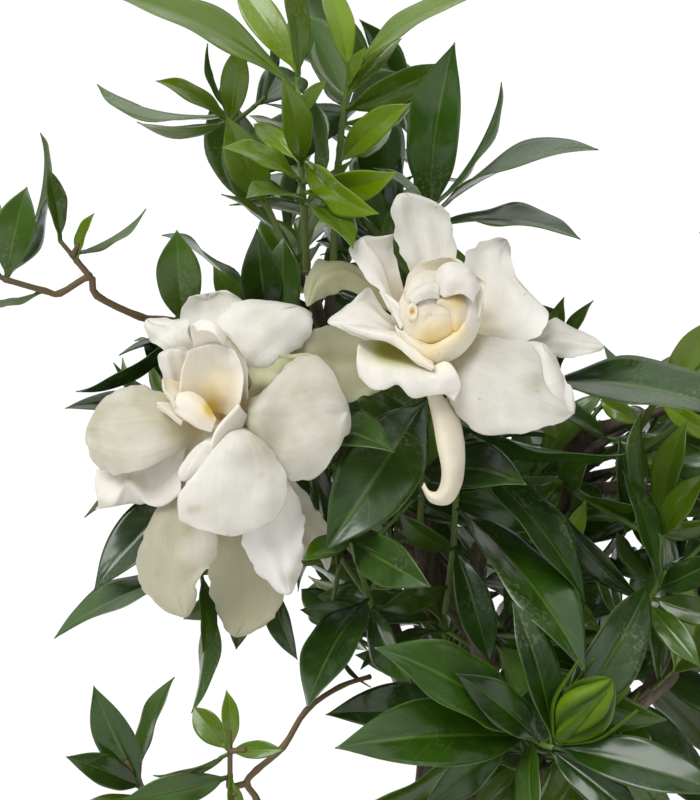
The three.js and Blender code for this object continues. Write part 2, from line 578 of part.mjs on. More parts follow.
// Leaf blade: a point at the root, three four-cornered sections and a point at the tip. Its corners are
// the left edge, the ridge above the midrib, the right edge and the ridge below it.
function blade(leaf, extra = 0, fromSection = false) {
  const sections = leaf.kind.sections.map(([along, share]) => section(leaf, along, share, extra));
  const points = [leaf.root, ...sections.flat(), tipOf(leaf)];
  const tip = points.length - 1;
  const last = tip - 4;
  const triangles = [];
  for (let k = 0; k < 4; k += 1) {
    const next = (k + 1) % 4;
    if (!fromSection) {
      triangles.push([0, 1 + k, 1 + next]);
    }
    for (let low = 1; low < last; low += 4) {
      triangles.push(...bladeStrip(low, k, next));
    }
    triangles.push([last + k, tip, last + next]);
  }
  if (fromSection) {
    triangles.push([1, 2, 3], [1, 3, 4]);
    return closedSolid(points.slice(1), triangles.map((corners) => corners.map((corner) => corner - 1)));
  }
  return closedSolid(points, triangles);
}

// Both faces are split from the edges of the lower section to the ridges of the upper one
function bladeStrip(low, k, next) {
  const high = low + 4;
  if (k % 2 === 0) {
    return [[low + k, high + k, high + next], [low + k, high + next, low + next]];
  }
  return [[low + k, high + k, low + next], [low + next, high + k, high + next]];
}

function tipOf(leaf) {
  return leaf.root.clone().add(leaf.chord);
}

function section(leaf, along, share, extra) {
  const ahead = leaf.chord.clone().normalize();
  const side = new THREE.Vector3().crossVectors(ahead, leaf.normal).normalize();
  const rise = leaf.arch * 4 * along * (1 - along);
  const middle = leaf.root.clone().addScaledVector(leaf.chord, along).addScaledVector(leaf.normal, rise);
  const half = (leaf.width * share) / 2 + extra;
  const lift = half * Math.tan(BLADE_FOLD);
  const thick = BLADE_THICKNESS / 2 + extra;
  return [
    middle.clone().addScaledVector(side, -half).addScaledVector(leaf.normal, lift),
    middle.clone().addScaledVector(leaf.normal, thick),
    middle.clone().addScaledVector(side, half).addScaledVector(leaf.normal, lift),
    middle.clone().addScaledVector(leaf.normal, -thick),
  ];
}

function makeLeaf(root, chord, normal, width, kind = NEAR_LEAF) {
  const ahead = chord.clone().normalize();
  const square = normal.clone().addScaledVector(ahead, -normal.dot(ahead)).normalize();
  return { root, chord, normal: square, width, kind, arch: chord.length() * BLADE_ARCH };
}

// A leaf of the drawn front. Its blade is turned about its midrib until it looks as wide as it is drawn.
function drawnLeaf(row, stems) {
  const [rootRight, rootUp, tipRight, tipUp, tipForward, width, shows] = row;
  const root = nearestOnStems(rootRight, rootUp, stems);
  const chord = seen([tipRight, tipUp, tipForward]).sub(root);
  const ahead = chord.clone().normalize();
  const facing = FORWARD.clone().addScaledVector(ahead, -FORWARD.dot(ahead)).normalize();
  const aside = new THREE.Vector3().crossVectors(ahead, facing);
  if (aside.z < 0) {
    aside.negate();
  }
  const full = Math.max(width, chord.length() * LEAF_WIDTH_SHARE);
  const turn = Math.acos(Math.min(1, width / full));
  const tilt = shows === HUNG ? -turn : turn;
  const normal = facing.multiplyScalar(Math.cos(tilt)).addScaledVector(aside, Math.sin(tilt));
  if (shows === UNDER) {
    normal.negate();
  }
  return makeLeaf(root, chord, normal, full, tipForward < FAR_BACK ? FAR_LEAF : NEAR_LEAF);
}

function nearestOnStems(right, up, stems) {
  let best = null;
  const steps = 10;
  stems.forEach((points) => {
    for (let i = 0; i < points.length - 1; i += 1) {
      for (let k = 0; k < steps; k += 1) {
        const share = (k + 0.5) / steps;
        const place = points[i].map((value, axis) => value + (points[i + 1][axis] - value) * share);
        const distance = Math.hypot(place[0] - right, place[1] - up);
        if (!best || distance < best.distance) {
          best = { distance, from: seen(points[i]), to: seen(points[i + 1]), share };
        }
      }
    }
  });
  return best.from.lerp(best.to, Math.min(best.share, 1 - ROOT_DEPTH / best.from.distanceTo(best.to)));
}

// Small turns that a leaf may take to stay clear of its neighbours, the least seen first:
// [degrees about its side, degrees about its normal, degrees about its midrib]
function smallTurns() {
  const turns = [];
  for (const nod of [0, 8, -8, 16, -16, 26, -26]) {
    for (const swing of [0, 7, -7, 15, -15]) {
      for (const roll of [0, 18, -18, 38, -38]) {
        turns.push([nod, swing, roll]);
      }
    }
  }
  const [nodShows, swingShows, rollShows] = [1, 1.8, 0.5];
  const shows = ([nod, swing, roll]) => (
    nodShows * Math.abs(nod) + swingShows * Math.abs(swing) + rollShows * Math.abs(roll)
  );
  return turns.sort((a, b) => shows(a) - shows(b));
}

const TURNS = smallTurns();
const LEAF_SIZES = [1, 0.87, 0.74, 0.6];

function turned(leaf, [nod, swing, roll], size) {
  const ahead = leaf.chord.clone().normalize();
  const side = new THREE.Vector3().crossVectors(ahead, leaf.normal);
  const turn = new THREE.Quaternion().setFromAxisAngle(side, nod * DEGREE)
    .multiply(new THREE.Quaternion().setFromAxisAngle(leaf.normal, swing * DEGREE))
    .multiply(new THREE.Quaternion().setFromAxisAngle(ahead, roll * DEGREE));
  const chord = leaf.chord.clone().applyQuaternion(turn).multiplyScalar(size);
  return makeLeaf(leaf.root, chord, leaf.normal.clone().applyQuaternion(turn), leaf.width * size, leaf.kind);
}

// Pieces already in place, with their boxes, so that only near ones are compared
const placed = [];

function remember(solid, owner) {
  placed.push({ solid, owner, box: solid.boundingBox() });
}

function boxesMeet(a, b) {
  return [0, 1, 2].every((axis) => a.min[axis] <= b.max[axis] && b.min[axis] <= a.max[axis]);
}

function meets(solid, others) {
  const box = solid.boundingBox();
  return others.some((other) => boxesMeet(box, other.box) && !solid.intersect(other.solid).isEmpty());
}

function fitLeaf(leaf, owner, siblings) {
  const strangers = placed.filter((piece) => piece.owner !== owner);
  for (const size of LEAF_SIZES) {
    for (const turn of TURNS) {
      const candidate = turned(leaf, turn, size);
      const whole = blade(candidate, LEAF_CLEARANCE);
      const free = blade(candidate, LEAF_CLEARANCE, true);
      const hidden = !leaf.kind.masked || leafMayGrow(candidate);
      const apart = !meets(free, siblings.whole) && !meets(whole, siblings.free);
      if (hidden && apart && !meets(whole, strangers)) {
        return candidate;
      }
    }
  }
  return null;
}

function leafyShoot(name, stemLines, leaves, extras = []) {
  const stems = stemLines.map((points, i) => {
    const foot = i === 0 ? STEM_RADIUS : SIDE_STEM_RADIUS;
    return stem(points, evenRadii(points.length, foot, STEM_TIP_RADIUS));
  });
  const siblings = { whole: [], free: [] };
  const blades = [];
  leaves.forEach((leaf) => {
    const fitted = fitLeaf(leaf, name, siblings);
    if (!fitted) {
      return;
    }
    const whole = blade(fitted);
    const free = blade(fitted, 0, true);
    siblings.whole.push({ solid: whole, box: whole.boundingBox() });
    siblings.free.push({ solid: free, box: free.boundingBox() });
    blades.push(whole);
  });
  const solid = joined([...stems, ...extras, ...blades]);
  remember(solid, name);
  return solid;
}

// Petals

function spline(points, place) {
  const i = Math.min(Math.floor(place), points.length - 2);
  const t = place - i;
  const [a, b, c, d] = [-1, 0, 1, 2].map((k) => points[Math.max(0, Math.min(points.length - 1, i + k))]);
  const weights = [
    (-t + 2 * t * t - t * t * t) / 2,
    (2 - 5 * t * t + 3 * t * t * t) / 2,
    (t + 4 * t * t - 3 * t * t * t) / 2,
    (-t * t + t * t * t) / 2,
  ];
  return new THREE.Vector3()
    .addScaledVector(a, weights[0])
    .addScaledVector(b, weights[1])
    .addScaledVector(c, weights[2])
    .addScaledVector(d, weights[3]);
}

function petalShape({ edge, swell, roll }, heart) {
  const rim = edge.map(seen);
  const tip = rim[3];
  const aside = rim[6].clone().sub(rim[0]).normalize().multiplyScalar(PETAL_BASE_WIDTH / 2);
  const toTip = tip.clone().sub(heart).normalize().multiplyScalar(HEART_RADIUS / 2);
  const base = heart.clone().add(toTip);
  const outline = [base.clone().sub(aside), ...rim, base.clone().add(aside)];
  const facing = new THREE.Vector3().crossVectors(aside, toTip).normalize();
  if (facing.dot(FORWARD) < 0) {
    facing.negate();
  }
  return { outline, facing, swell, roll };
}

function pastStart(place, start) {
  return Math.max(0, (place - start) / (1 - start)) ** 2;
}

// A point of the petal's middle sheet, with u from -1 to 1 across it and v from 0 at its base to 1 at its tip
function petalPoint({ outline, facing, swell, roll }, u, v) {
  const first = spline(outline, 4 * v);
  const second = spline(outline, 8 - 4 * v);
  const across = (swell[0] * (1 - u) + swell[1] * (1 + u)) / 2;
  const bulge = across * (1 - u * u) * Math.sin(Math.PI * v ** 0.8);
  const atSides = pastStart(Math.abs(u), SIDE_ROLL_START) * Math.min(1, 2 * v);
  const atTip = pastStart(v, TIP_ROLL_START);
  return first.lerp(second, (u + 1) / 2).addScaledVector(facing, bulge - roll * (atSides + atTip));
}

function petalNormal(shape, u, v) {
  const step = 0.02;
  const alongU = petalPoint(shape, u + step, v).sub(petalPoint(shape, u - step, v));
  const alongV = petalPoint(shape, u, v + step).sub(petalPoint(shape, u, v - step));
  return alongU.cross(alongV).normalize();
}

// A petal's two faces share their rim and are split into the same triangles
function petal(row, heart, cells) {
  const shape = petalShape(row, heart);
  const points = [];
  const faces = [[], []];
  for (let j = 0; j < cells; j += 1) {
    for (let i = 0; i <= cells; i += 1) {
      const u = (2 * i) / cells - 1;
      const v = j / cells;
      const middle = petalPoint(shape, u, v);
      const onRim = i === 0 || i === cells || j === 0;
      const normal = onRim ? null : petalNormal(shape, u, v).multiplyScalar(PETAL_THICKNESS / 2);
      faces[0].push(points.push(onRim ? middle : middle.clone().add(normal)) - 1);
      faces[1].push(onRim ? points.length - 1 : points.push(middle.clone().sub(normal)) - 1);
    }
  }
  const tip = points.push(petalPoint(shape, 0, 1)) - 1;
  return closedSolid(points, [...petalFace(faces[0], cells, tip), ...petalFace(faces[1], cells, tip, true)]);
}

function petalFace(corners, cells, tip, back = false) {
  const triangles = [];
  for (let i = 0; i < cells; i += 1) {
    for (let j = 0; j < cells - 1; j += 1) {
      const low = j * (cells + 1) + i;
      const high = low + cells + 1;
      triangles.push([corners[low], corners[low + 1], corners[high + 1]]);
      triangles.push([corners[low], corners[high + 1], corners[high]]);
    }
    const last = (cells - 1) * (cells + 1) + i;
    triangles.push([corners[last], corners[last + 1], tip]);
  }
  return back ? triangles.map(([a, b, c]) => [a, c, b]) : triangles;
}

function bloom({ heart, outer, inner }) {
  const middle = seen(heart);
  const ball = new THREE.IcosahedronGeometry(HEART_RADIUS, 1);
  const core = solidOf(ball.translate(middle.x, middle.y, middle.z));
  const petals = outer.map((row) => petal(row, middle, OUTER_CELLS));
  const innerPetals = inner.map((row) => petal(row, middle, INNER_CELLS));
  return joined([core, ...petals, ...innerPetals]);
}

// Green cup under a bloom, from the end of its stem to a gap behind the bloom's heart
function calyx(stemEnd, heart) {
  const axis = heart.clone().sub(stemEnd);
  const reach = axis.length() - HEART_RADIUS - GAP;
  const ahead = axis.clone().normalize();
  const places = [-ROOT_DEPTH, 0.35 * reach, reach];
  return stem(places.map((place) => stemEnd.clone().addScaledVector(ahead, place)), CALYX_RADII, CALYX_SIDES);
}

// Pot, soil and wood

function pot() {
  const innerFoot = POT_FOOT_RADIUS - POT_WALL;
  const rimFoot = POT_HEIGHT - RIM_HEIGHT;
  const wallTop = POT_FOOT_RADIUS + ((POT_TOP_RADIUS - RIM_STEP - POT_FOOT_RADIUS) * rimFoot) / POT_HEIGHT;
  const mouth = POT_TOP_RADIUS - POT_WALL;
  const profile = [
    [0, 0], [POT_FOOT_RADIUS - FOOT_ROUNDING, 0], [POT_FOOT_RADIUS, FOOT_ROUNDING], [wallTop, rimFoot],
    [POT_TOP_RADIUS - RIM_ROUNDING, rimFoot + 1], [POT_TOP_RADIUS, POT_HEIGHT - RIM_ROUNDING],
    [POT_TOP_RADIUS - RIM_ROUNDING, POT_HEIGHT], [mouth + RIM_ROUNDING, POT_HEIGHT],
    [mouth, POT_HEIGHT - RIM_ROUNDING], [innerFoot, POT_FLOOR], [0, POT_FLOOR],
  ];
  const points = profile.map(([radius, height]) => new THREE.Vector2(radius, height));
  const drains = Array.from({ length: DRAIN_COUNT }, (_, i) => {
    const turn = (2 * Math.PI * (i + 0.5)) / DRAIN_COUNT;
    const hole = upright(new THREE.CylinderGeometry(DRAIN_RADIUS, DRAIN_RADIUS, 3 * POT_FLOOR, DRAIN_SIDES));
    return solidOf(hole.translate(DRAIN_CIRCLE * Math.cos(turn), DRAIN_CIRCLE * Math.sin(turn), 0));
  });
  const body = solidOf(upright(new THREE.LatheGeometry(points, POT_SIDES)));
  return drains.reduce((cut, hole) => cut.subtract(hole), body);
}

function upright(geometry) {
  return geometry.rotateX(Math.PI / 2);
}

function potInnerRadius(height) {
  const innerFoot = POT_FOOT_RADIUS - POT_WALL;
  const innerTop = POT_TOP_RADIUS - POT_WALL;
  const share = (height - POT_FLOOR) / (POT_HEIGHT - RIM_ROUNDING - POT_FLOOR);
  return innerFoot + (innerTop - innerFoot) * share;
}

function soil() {
  const low = POT_FLOOR + GAP;
  const reach = potInnerRadius(SOIL_EDGE_HEIGHT) - 2 * GAP;
  const profile = [
    [0, low], [potInnerRadius(low) - 2 * GAP, low], [reach, SOIL_EDGE_HEIGHT],
    ...SOIL_RISE.map(([share, rise]) => [share * reach, SOIL_EDGE_HEIGHT + rise]),
  ];
  const points = profile.map(([radius, height]) => new THREE.Vector2(radius, height));
  const body = solidOf(upright(new THREE.LatheGeometry(points, POT_SIDES)));
  return body.subtract(solidOf(trunkHole()));
}

// A plain round hole that the trunk stands in
function trunkHole() {
  const depth = POT_HEIGHT - TRUNK_FOOT_HEIGHT;
  const radius = (TRUNK_RADIUS + GAP) / Math.cos(Math.PI / TRUNK_HOLE_SIDES);
  const hole = upright(new THREE.CylinderGeometry(radius, radius, depth, TRUNK_HOLE_SIDES));
  return hole.translate(0, 0, TRUNK_FOOT_HEIGHT - GAP + depth / 2);
}

function vectors(points) {
  return points.map(([x, y, z]) => new THREE.Vector3(x, y, z));
}

// Places along the limbs where a twig may start, the cheapest first: near its shoot's foot, and lower
function twigStarts(foot) {
  const starts = [];
  const steps = 4;
  const climbWeight = 1.5;
  LIMBS.map(vectors).forEach((points) => {
    for (let i = 0; i < points.length - 1; i += 1) {
      const along = points[i + 1].clone().sub(points[i]).normalize();
      for (let k = 0; k < steps; k += 1) {
        const place = points[i].clone().lerp(points[i + 1], (k + 0.5) / steps);
        const missing = Math.max(0, TWIG_LEAST_CLIMB - (foot.z - place.z));
        starts.push({ place, along, cost: place.distanceTo(foot) + climbWeight * missing });
      }
    }
  });
  return starts.sort((a, b) => a.cost - b.cost);
}

// A twig leaves its limb and runs in line into the foot of its shoot
function twig(foot, ahead, { place, along }) {
  const end = foot.clone().addScaledVector(ahead, -GAP);
  const pull = place.distanceTo(end) * TWIG_PULL;
  const curve = new THREE.CubicBezierCurve3(
    place,
    place.clone().addScaledVector(along, pull),
    end.clone().addScaledVector(ahead, -pull),
    end,
  );
  const points = curve.getSpacedPoints(Math.max(2, Math.round(curve.getLength() / TWIG_STEP)));
  const solid = stem(points, evenRadii(points.length, TWIG_RADIUS, STEM_RADIUS), STEM_SIDES, ahead);
  return { solid, hidden: curve.getPoints(TWIG_CHECKS).every(mayGrowAt) };
}

// The first twig that meets no shoot or bloom, and if it can be, one that the foliage hides from the front
function freeTwig([foot, next], mustHide) {
  const ahead = next.clone().sub(foot).normalize();
  const strangers = placed.filter((piece) => piece.owner !== 'wood');
  const ways = twigStarts(foot).slice(0, TWIG_TRIES).map((start) => twig(foot, ahead, start));
  const free = ways.filter(({ solid, hidden }) => (hidden || !mustHide) && !meets(solid, strangers));
  return free.find(({ hidden }) => hidden) ?? free[0];
}

function growTrunkAndLimbs() {
  remember(stem(vectors(TRUNK), TRUNK_TAPER.map((share) => TRUNK_RADIUS * share), TRUNK_SIDES), 'wood');
  LIMBS.map(vectors).forEach((points) => {
    remember(stem(points, evenRadii(points.length, LIMB_FOOT_RADIUS, TWIG_RADIUS), LIMB_SIDES), 'wood');
  });
}

// Shoots by rule

// Where a point is seen from the front, as right, up and forward
function sight(point) {
  const offset = point.clone().sub(VIEW_MIDDLE);
  const forward = offset.dot(FORWARD);
  const nearer = 1 - forward / VIEW_DISTANCE;
  return { right: offset.dot(RIGHT) / nearer, up: offset.dot(UP) / nearer, forward };
}

function mayGrowAt(point) {
  const { right, up } = sight(point);
  const outsideView = right > VIEW_HALF_WIDTH || Math.abs(up) > VIEW_HALF_HEIGHT;
  return outsideView || FOLIAGE_ROUNDS.some(([x, y, radius]) => Math.hypot(right - x, up - y) < radius);
}

function leafMayGrow({ root, chord }) {
  return LEAF_CHECKS.every((share) => mayGrowAt(root.clone().addScaledVector(chord, share)));
}

function ruledShoots() {
  const goldenTurn = 137.5;
  const shoots = [];
  CROWN_SHELLS.forEach(([share, count]) => {
    for (let i = 0; i < count; i += 1) {
      const rise = 1 - (2 * (i + 0.5)) / count;
      const turn = i * goldenTurn * DEGREE;
      const level = Math.sqrt(1 - rise * rise);
      const outward = new THREE.Vector3(level * Math.cos(turn), level * Math.sin(turn), rise);
      const tip = CROWN_MIDDLE.clone().add(outward.clone().multiply(CROWN_RADII).multiplyScalar(share));
      const ahead = outward.clone().setZ(outward.z + CROWN_LIFT).normalize();
      shoots.push({ points: ruledStem(tip, ahead), spin: goldenTurn * i });
    }
  });
  return shoots.filter(({ points }) => standsBehind(points));
}

function standsBehind(points) {
  const checks = new THREE.CatmullRomCurve3(points).getPoints(STEM_CHECKS);
  return checks.every((point) => {
    const { right, up, forward } = sight(point);
    const outsideView = right > VIEW_HALF_WIDTH || Math.abs(up) > VIEW_HALF_HEIGHT;
    return mayGrowAt(point) && (outsideView || forward < CROWN_FRONT);
  });
}

function ruledStem(tip, ahead) {
  const foot = tip.clone().addScaledVector(ahead, -RULED_SHOOT_LENGTH);
  foot.z -= RULED_SHOOT_LENGTH * RULED_DROOP;
  const middle = foot.clone().lerp(tip, 0.5);
  middle.z -= RULED_SHOOT_LENGTH * RULED_DROOP / 4;
  return [foot, middle, tip];
}

function ruledLeaves(points, spin, random) {
  const [, middle, tip] = points;
  const ahead = tip.clone().sub(middle).normalize();
  const across = new THREE.Vector3(0, 0, 1).cross(ahead).normalize();
  const leaves = [];
  RULED_LENGTHS.forEach((share, pair) => {
    const root = tip.clone().addScaledVector(ahead, -ROOT_DEPTH - pair * RULED_PAIR_STEP);
    for (let side = 0; side < 2; side += 1) {
      const turn = spin + 90 * pair + 180 * side + RULED_TURN_RANGE * (random() - 0.5);
      const outward = across.clone().applyAxisAngle(ahead, turn * DEGREE);
      const leaning = RULED_SPREAD + RULED_SPREAD_STEP * pair + RULED_SPREAD_RANGE * (random() - 0.5);
      const length = RULED_LEAF_LENGTH * (share + RULED_LENGTH_RANGE * random());
      const [straight, out] = [Math.cos(leaning * DEGREE), Math.sin(leaning * DEGREE)];
      const chord = ahead.clone().multiplyScalar(straight).addScaledVector(outward, out);
      const normal = ahead.clone().multiplyScalar(out).addScaledVector(outward, -straight);
      const width = length * RULED_LEAF_WIDTH_SHARE;
      leaves.push(makeLeaf(root, chord.multiplyScalar(length), normal, width, RULED_LEAF));
    }
  });
  return leaves.filter(leafMayGrow);
}

// Flower bud, in line with the end of its stem

function bud() {
  const [before, end] = FRONT_SHOOTS.shoot_bud.stems[0].slice(-2).map(seen);
  const ahead = end.clone().sub(before).normalize();
  const axis = ahead.clone().multiplyScalar(BUD_LENGTH);
  const base = end.clone().addScaledVector(ahead, GAP);
  const across = new THREE.Vector3(0, 1, 0).addScaledVector(ahead, -ahead.y).normalize();
  const other = new THREE.Vector3().crossVectors(ahead, across);
  const points = [];
  BUD_SECTIONS.forEach(([along, radius]) => {
    for (let k = 0; k < BUD_SIDES; k += 1) {
      const turn = (2 * Math.PI * k) / BUD_SIDES;
      const swell = radius * (1 + BUD_LOBE_DEPTH * Math.cos(BUD_LOBES * turn));
      const place = turn + BUD_TWIST * along;
      points.push(base.clone().addScaledVector(axis, along)
        .addScaledVector(across, swell * Math.cos(place))
        .addScaledVector(other, swell * Math.sin(place)));
    }
  });
  const body = closedSolid(points, tubeTriangles(BUD_SECTIONS.length, BUD_SIDES));
  const sepals = Array.from({ length: BUD_LOBES }, (_, i) => {
    const turn = (2 * Math.PI * (i + 0.3)) / BUD_LOBES;
    const outward = across.clone().multiplyScalar(Math.cos(turn)).addScaledVector(other, Math.sin(turn));
    const chord = ahead.clone().multiplyScalar(Math.cos(SEPAL_LEAN))
      .addScaledVector(outward, Math.sin(SEPAL_LEAN));
    return blade(makeLeaf(
      base.clone().addScaledVector(ahead, SEPAL_ROOT),
      chord.multiplyScalar(SEPAL_LENGTH),
      outward.clone().negate().addScaledVector(ahead, 0.4),
      SEPAL_WIDTH,
    ));
  });
  return joined([body, ...sepals]);
}

// The whole plant

const plant = new THREE.Group();
plant.add(meshOf(pot(), 'pot', COLOURS.terracotta, 0.85));
plant.add(meshOf(soil(), 'soil', COLOURS.soil, 1));

const drawn = Object.entries(FRONT_SHOOTS).map(([name, shoot]) => ({
  name,
  ...shoot,
  lines: shoot.stems.map((points) => points.map(seen)),
}));

Object.entries(BLOOMS).forEach(([name, rows]) => {
  const solid = bloom(rows);
  remember(solid, name);
  plant.add(meshOf(solid, name, COLOURS.petal, 0.5, seen(rows.heart)));
});

const budSolid = bud();
remember(budSolid, 'flower_bud');
plant.add(meshOf(budSolid, 'flower_bud', COLOURS.bud, 0.45));

// All stems and twigs are in place before the first leaf, so that none grows through another
function plainStem(points) {
  return stem(points, evenRadii(points.length, STEM_RADIUS, STEM_TIP_RADIUS));
}

function ruledName(i) {
  return `leafy_shoot_${String(i + 1).padStart(2, '0')}`;
}

drawn.forEach(({ name, lines }) => lines.forEach((points) => remember(plainStem(points), name)));
growTrunkAndLimbs();
drawn.forEach(({ lines: [line] }) => remember(freeTwig(line, false).solid, 'wood'));

const random = seeded(RULED_SEED);
const ruled = [];
ruledShoots().forEach(({ points, spin }) => {
  const leaves = ruledLeaves(points, spin, random);
  const fits = leaves.length >= RULED_LEAST_LEAVES && !meets(plainStem(points), placed);
  const way = fits && freeTwig(points, true);
  if (way) {
    remember(plainStem(points), ruledName(ruled.length));
    remember(way.solid, 'wood');
    ruled.push({ points, leaves });
  }
});

const woodSolid = joined(placed.filter(({ owner }) => owner === 'wood').map(({ solid }) => solid));
plant.add(meshOf(woodSolid, 'wood', COLOURS.bark, 0.9));

function addShoot(name, solid, stemFoot, colour) {
  plant.add(meshOf(solid, name, colour, 0.4, stemFoot));
}

drawn.forEach(({ name, stems, lines, leaves, young, calyx: hasCalyx }) => {
  const end = lines[0].at(-1);
  const extras = hasCalyx ? [calyx(end, seen(BLOOMS[name.replace('shoot_', '')].heart))] : [];
  const solid = leafyShoot(name, lines, leaves.map((row) => drawnLeaf(row, stems)), extras);
  addShoot(name, solid, lines[0][0], young ? COLOURS.youngLeaf : COLOURS.leaf);
});

ruled.forEach(({ points, leaves }, i) => {
  addShoot(ruledName(i), leafyShoot(ruledName(i), [points], leaves), points[0], COLOURS.leaf);
});

export default plant;
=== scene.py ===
"""A gardenia in flower in a plain terracotta pot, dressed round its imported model.

The leaves are read back from the faceted shoots of the frame and drawn again with veins and waved
edges. The blooms are drawn from the same outlines as their solids. Lengths are in metres.
"""

import math
import random

import bmesh
import bpy
import numpy as np
from mathutils import Matrix, Vector, noise


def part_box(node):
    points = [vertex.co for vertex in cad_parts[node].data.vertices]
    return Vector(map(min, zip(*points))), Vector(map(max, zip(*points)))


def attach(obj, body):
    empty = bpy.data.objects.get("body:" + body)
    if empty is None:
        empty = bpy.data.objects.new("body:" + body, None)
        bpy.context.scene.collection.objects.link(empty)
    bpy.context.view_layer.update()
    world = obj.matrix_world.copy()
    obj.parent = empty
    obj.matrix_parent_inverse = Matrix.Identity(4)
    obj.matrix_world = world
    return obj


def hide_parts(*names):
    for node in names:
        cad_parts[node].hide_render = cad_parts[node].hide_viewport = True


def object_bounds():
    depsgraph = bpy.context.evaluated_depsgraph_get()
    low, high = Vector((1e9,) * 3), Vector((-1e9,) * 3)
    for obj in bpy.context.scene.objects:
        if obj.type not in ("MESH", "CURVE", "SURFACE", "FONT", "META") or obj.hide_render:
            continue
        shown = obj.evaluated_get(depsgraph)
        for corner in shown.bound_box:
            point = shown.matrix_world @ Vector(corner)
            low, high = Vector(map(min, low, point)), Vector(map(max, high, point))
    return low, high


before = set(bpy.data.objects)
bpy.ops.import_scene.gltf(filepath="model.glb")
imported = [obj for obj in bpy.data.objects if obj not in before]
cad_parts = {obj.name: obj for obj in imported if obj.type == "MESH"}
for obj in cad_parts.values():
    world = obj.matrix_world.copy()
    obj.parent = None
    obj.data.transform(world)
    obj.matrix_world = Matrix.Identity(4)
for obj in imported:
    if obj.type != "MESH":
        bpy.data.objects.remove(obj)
CAD_BOX = [list(corner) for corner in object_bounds()]

bl_info = {
    "name": "Potted gardenia",
    "version": (1, 0, 0),
    "blender": (4, 5, 0),
    "location": "3D View > Sidebar > Gardenia",
    "description": "Dresses the solids of a potted gardenia with leaves, blooms, bark, clay and soil",
    "category": "Object",
}

MM = 0.001

# The plane that the front of the plant is drawn on, as in the part: places on it are right, up and forward
VIEW_MIDDLE = np.array((-30, -70, 362)) * MM
VIEW_TILT = math.radians(12)
VIEW_DISTANCE = 500 * MM
VIEW_HEIGHT = 240 * MM
RIGHT = np.array((1, 0, 0))
UP = np.array((0, math.sin(VIEW_TILT), math.cos(VIEW_TILT)))
FORWARD = np.array((0, -math.cos(VIEW_TILT), math.sin(VIEW_TILT)))

# Leaf blades of the solids: where their sections stand along the midrib, and how wide they are there
NEAR_SECTIONS = ((0.6, 1.0), (0.84, 0.58))
FAR_SECTIONS = ((0.42, 0.98), (0.78, 0.72))
BLADE_THICKNESS = 1.2 * MM
BLADE_ARCH = 0.07
BLADE_FOLD = math.radians(14)
NEAR_TAPER = 0.66  # only a near blade narrows to less than this share between its sections

# How a solid's corners are told apart
SAME_CORNER = 0.004 * MM
SAME_THICKNESS = 0.03 * MM
RING_REACH = 2.7 * MM
ROOT_CLEAR = 3.2 * MM
HEART_CLEAR = 16 * MM

# The one leaf whose widest section is cut by a leaf that it crosses, so that it can't be read back
CROSSED_SHOOT = "shoot_right_high"
CROSSED_ROOT = np.array((40.05, -11.96, 321.93)) * MM
CROSSED_TIP = np.array((64.67, -38.82, 320.08)) * MM
CROSSED_NORMAL = np.array((-0.518, -0.424, -0.743))
CROSSED_WIDTH = 10.94 * MM

# Stems
STEM_RADIUS = 1.3 * MM
STEM_TIP_RADIUS = 0.8 * MM
SIDE_STEM = 0.8  # thickness of a side stem and of an inner one, as shares
INNER_STEM = 0.7
CALYX_SIDES = 16
STEM_STEPS = 4  # stretches between two points of a stem
KNOT = 1.16  # how much thicker a stem is where a leaf or a side shoot leaves it
WOODY_SHOOTS = ("shoot_left_twig", "shoot_lower_left", "shoot_lower_left_tip")
# How much younger the leaves of a shoot are than others of their length
YOUNG_SHOOTS = {"shoot_top_right": 0.7, "shoot_right_tip": 0.6, "shoot_top_middle": 0.7,
                "shoot_top_left": 0.4, "shoot_right_high": 0.35}
# The cup behind a bloom: shares of its length, and radii in millimetres
CALYX_SECTIONS = ((-0.1, 1.1), (0.1, 1.9), (0.35, 2.7), (0.6, 3.2), (0.85, 3.9), (1, 4.6))

# Fine leaf: its half width along it, as shares
LEAF_OUTLINE = ((0, 0.05), (0.07, 0.1), (0.17, 0.42), (0.34, 0.84), (0.48, 0.98), (0.6, 1), (0.72, 0.88),
                (0.84, 0.58), (0.93, 0.25), (0.985, 0.05), (1, 0.012))
LEAF_GRIDS = {"near": (34, 13), "far": (22, 9), "inner": (17, 7)}  # rows and columns
LEAF_THICKNESS = 0.42 * MM
COMMON_LEAF = 60 * MM  # the length that waves and veins are sized for
YOUNG_LEAF = 34 * MM  # a leaf shorter than this is young
PETIOLE_RADIUS = 0.7 * MM
SIDE_VEINS = 9
VEIN_SLANT = 0.2
VEIN_RELIEF = 0.2 * MM
MIDRIB_DEPTH = 0.45 * MM

# Where the foliage is dense in the drawn view: rounds of right, up and radius in millimetres
FOLIAGE_ROUNDS = ((-14, 86, 36), (12, 64, 22), (-34, -8, 42), (26, 14, 31), (8, -10, 30), (20, -52, 38),
                  (72, -46, 46), (52, -88, 34), (98, -16, 28), (70, -108, 27), (-6, 40, 26))
VIEW_HALF_WIDTH = 105
VIEW_HALF_HEIGHT = 120

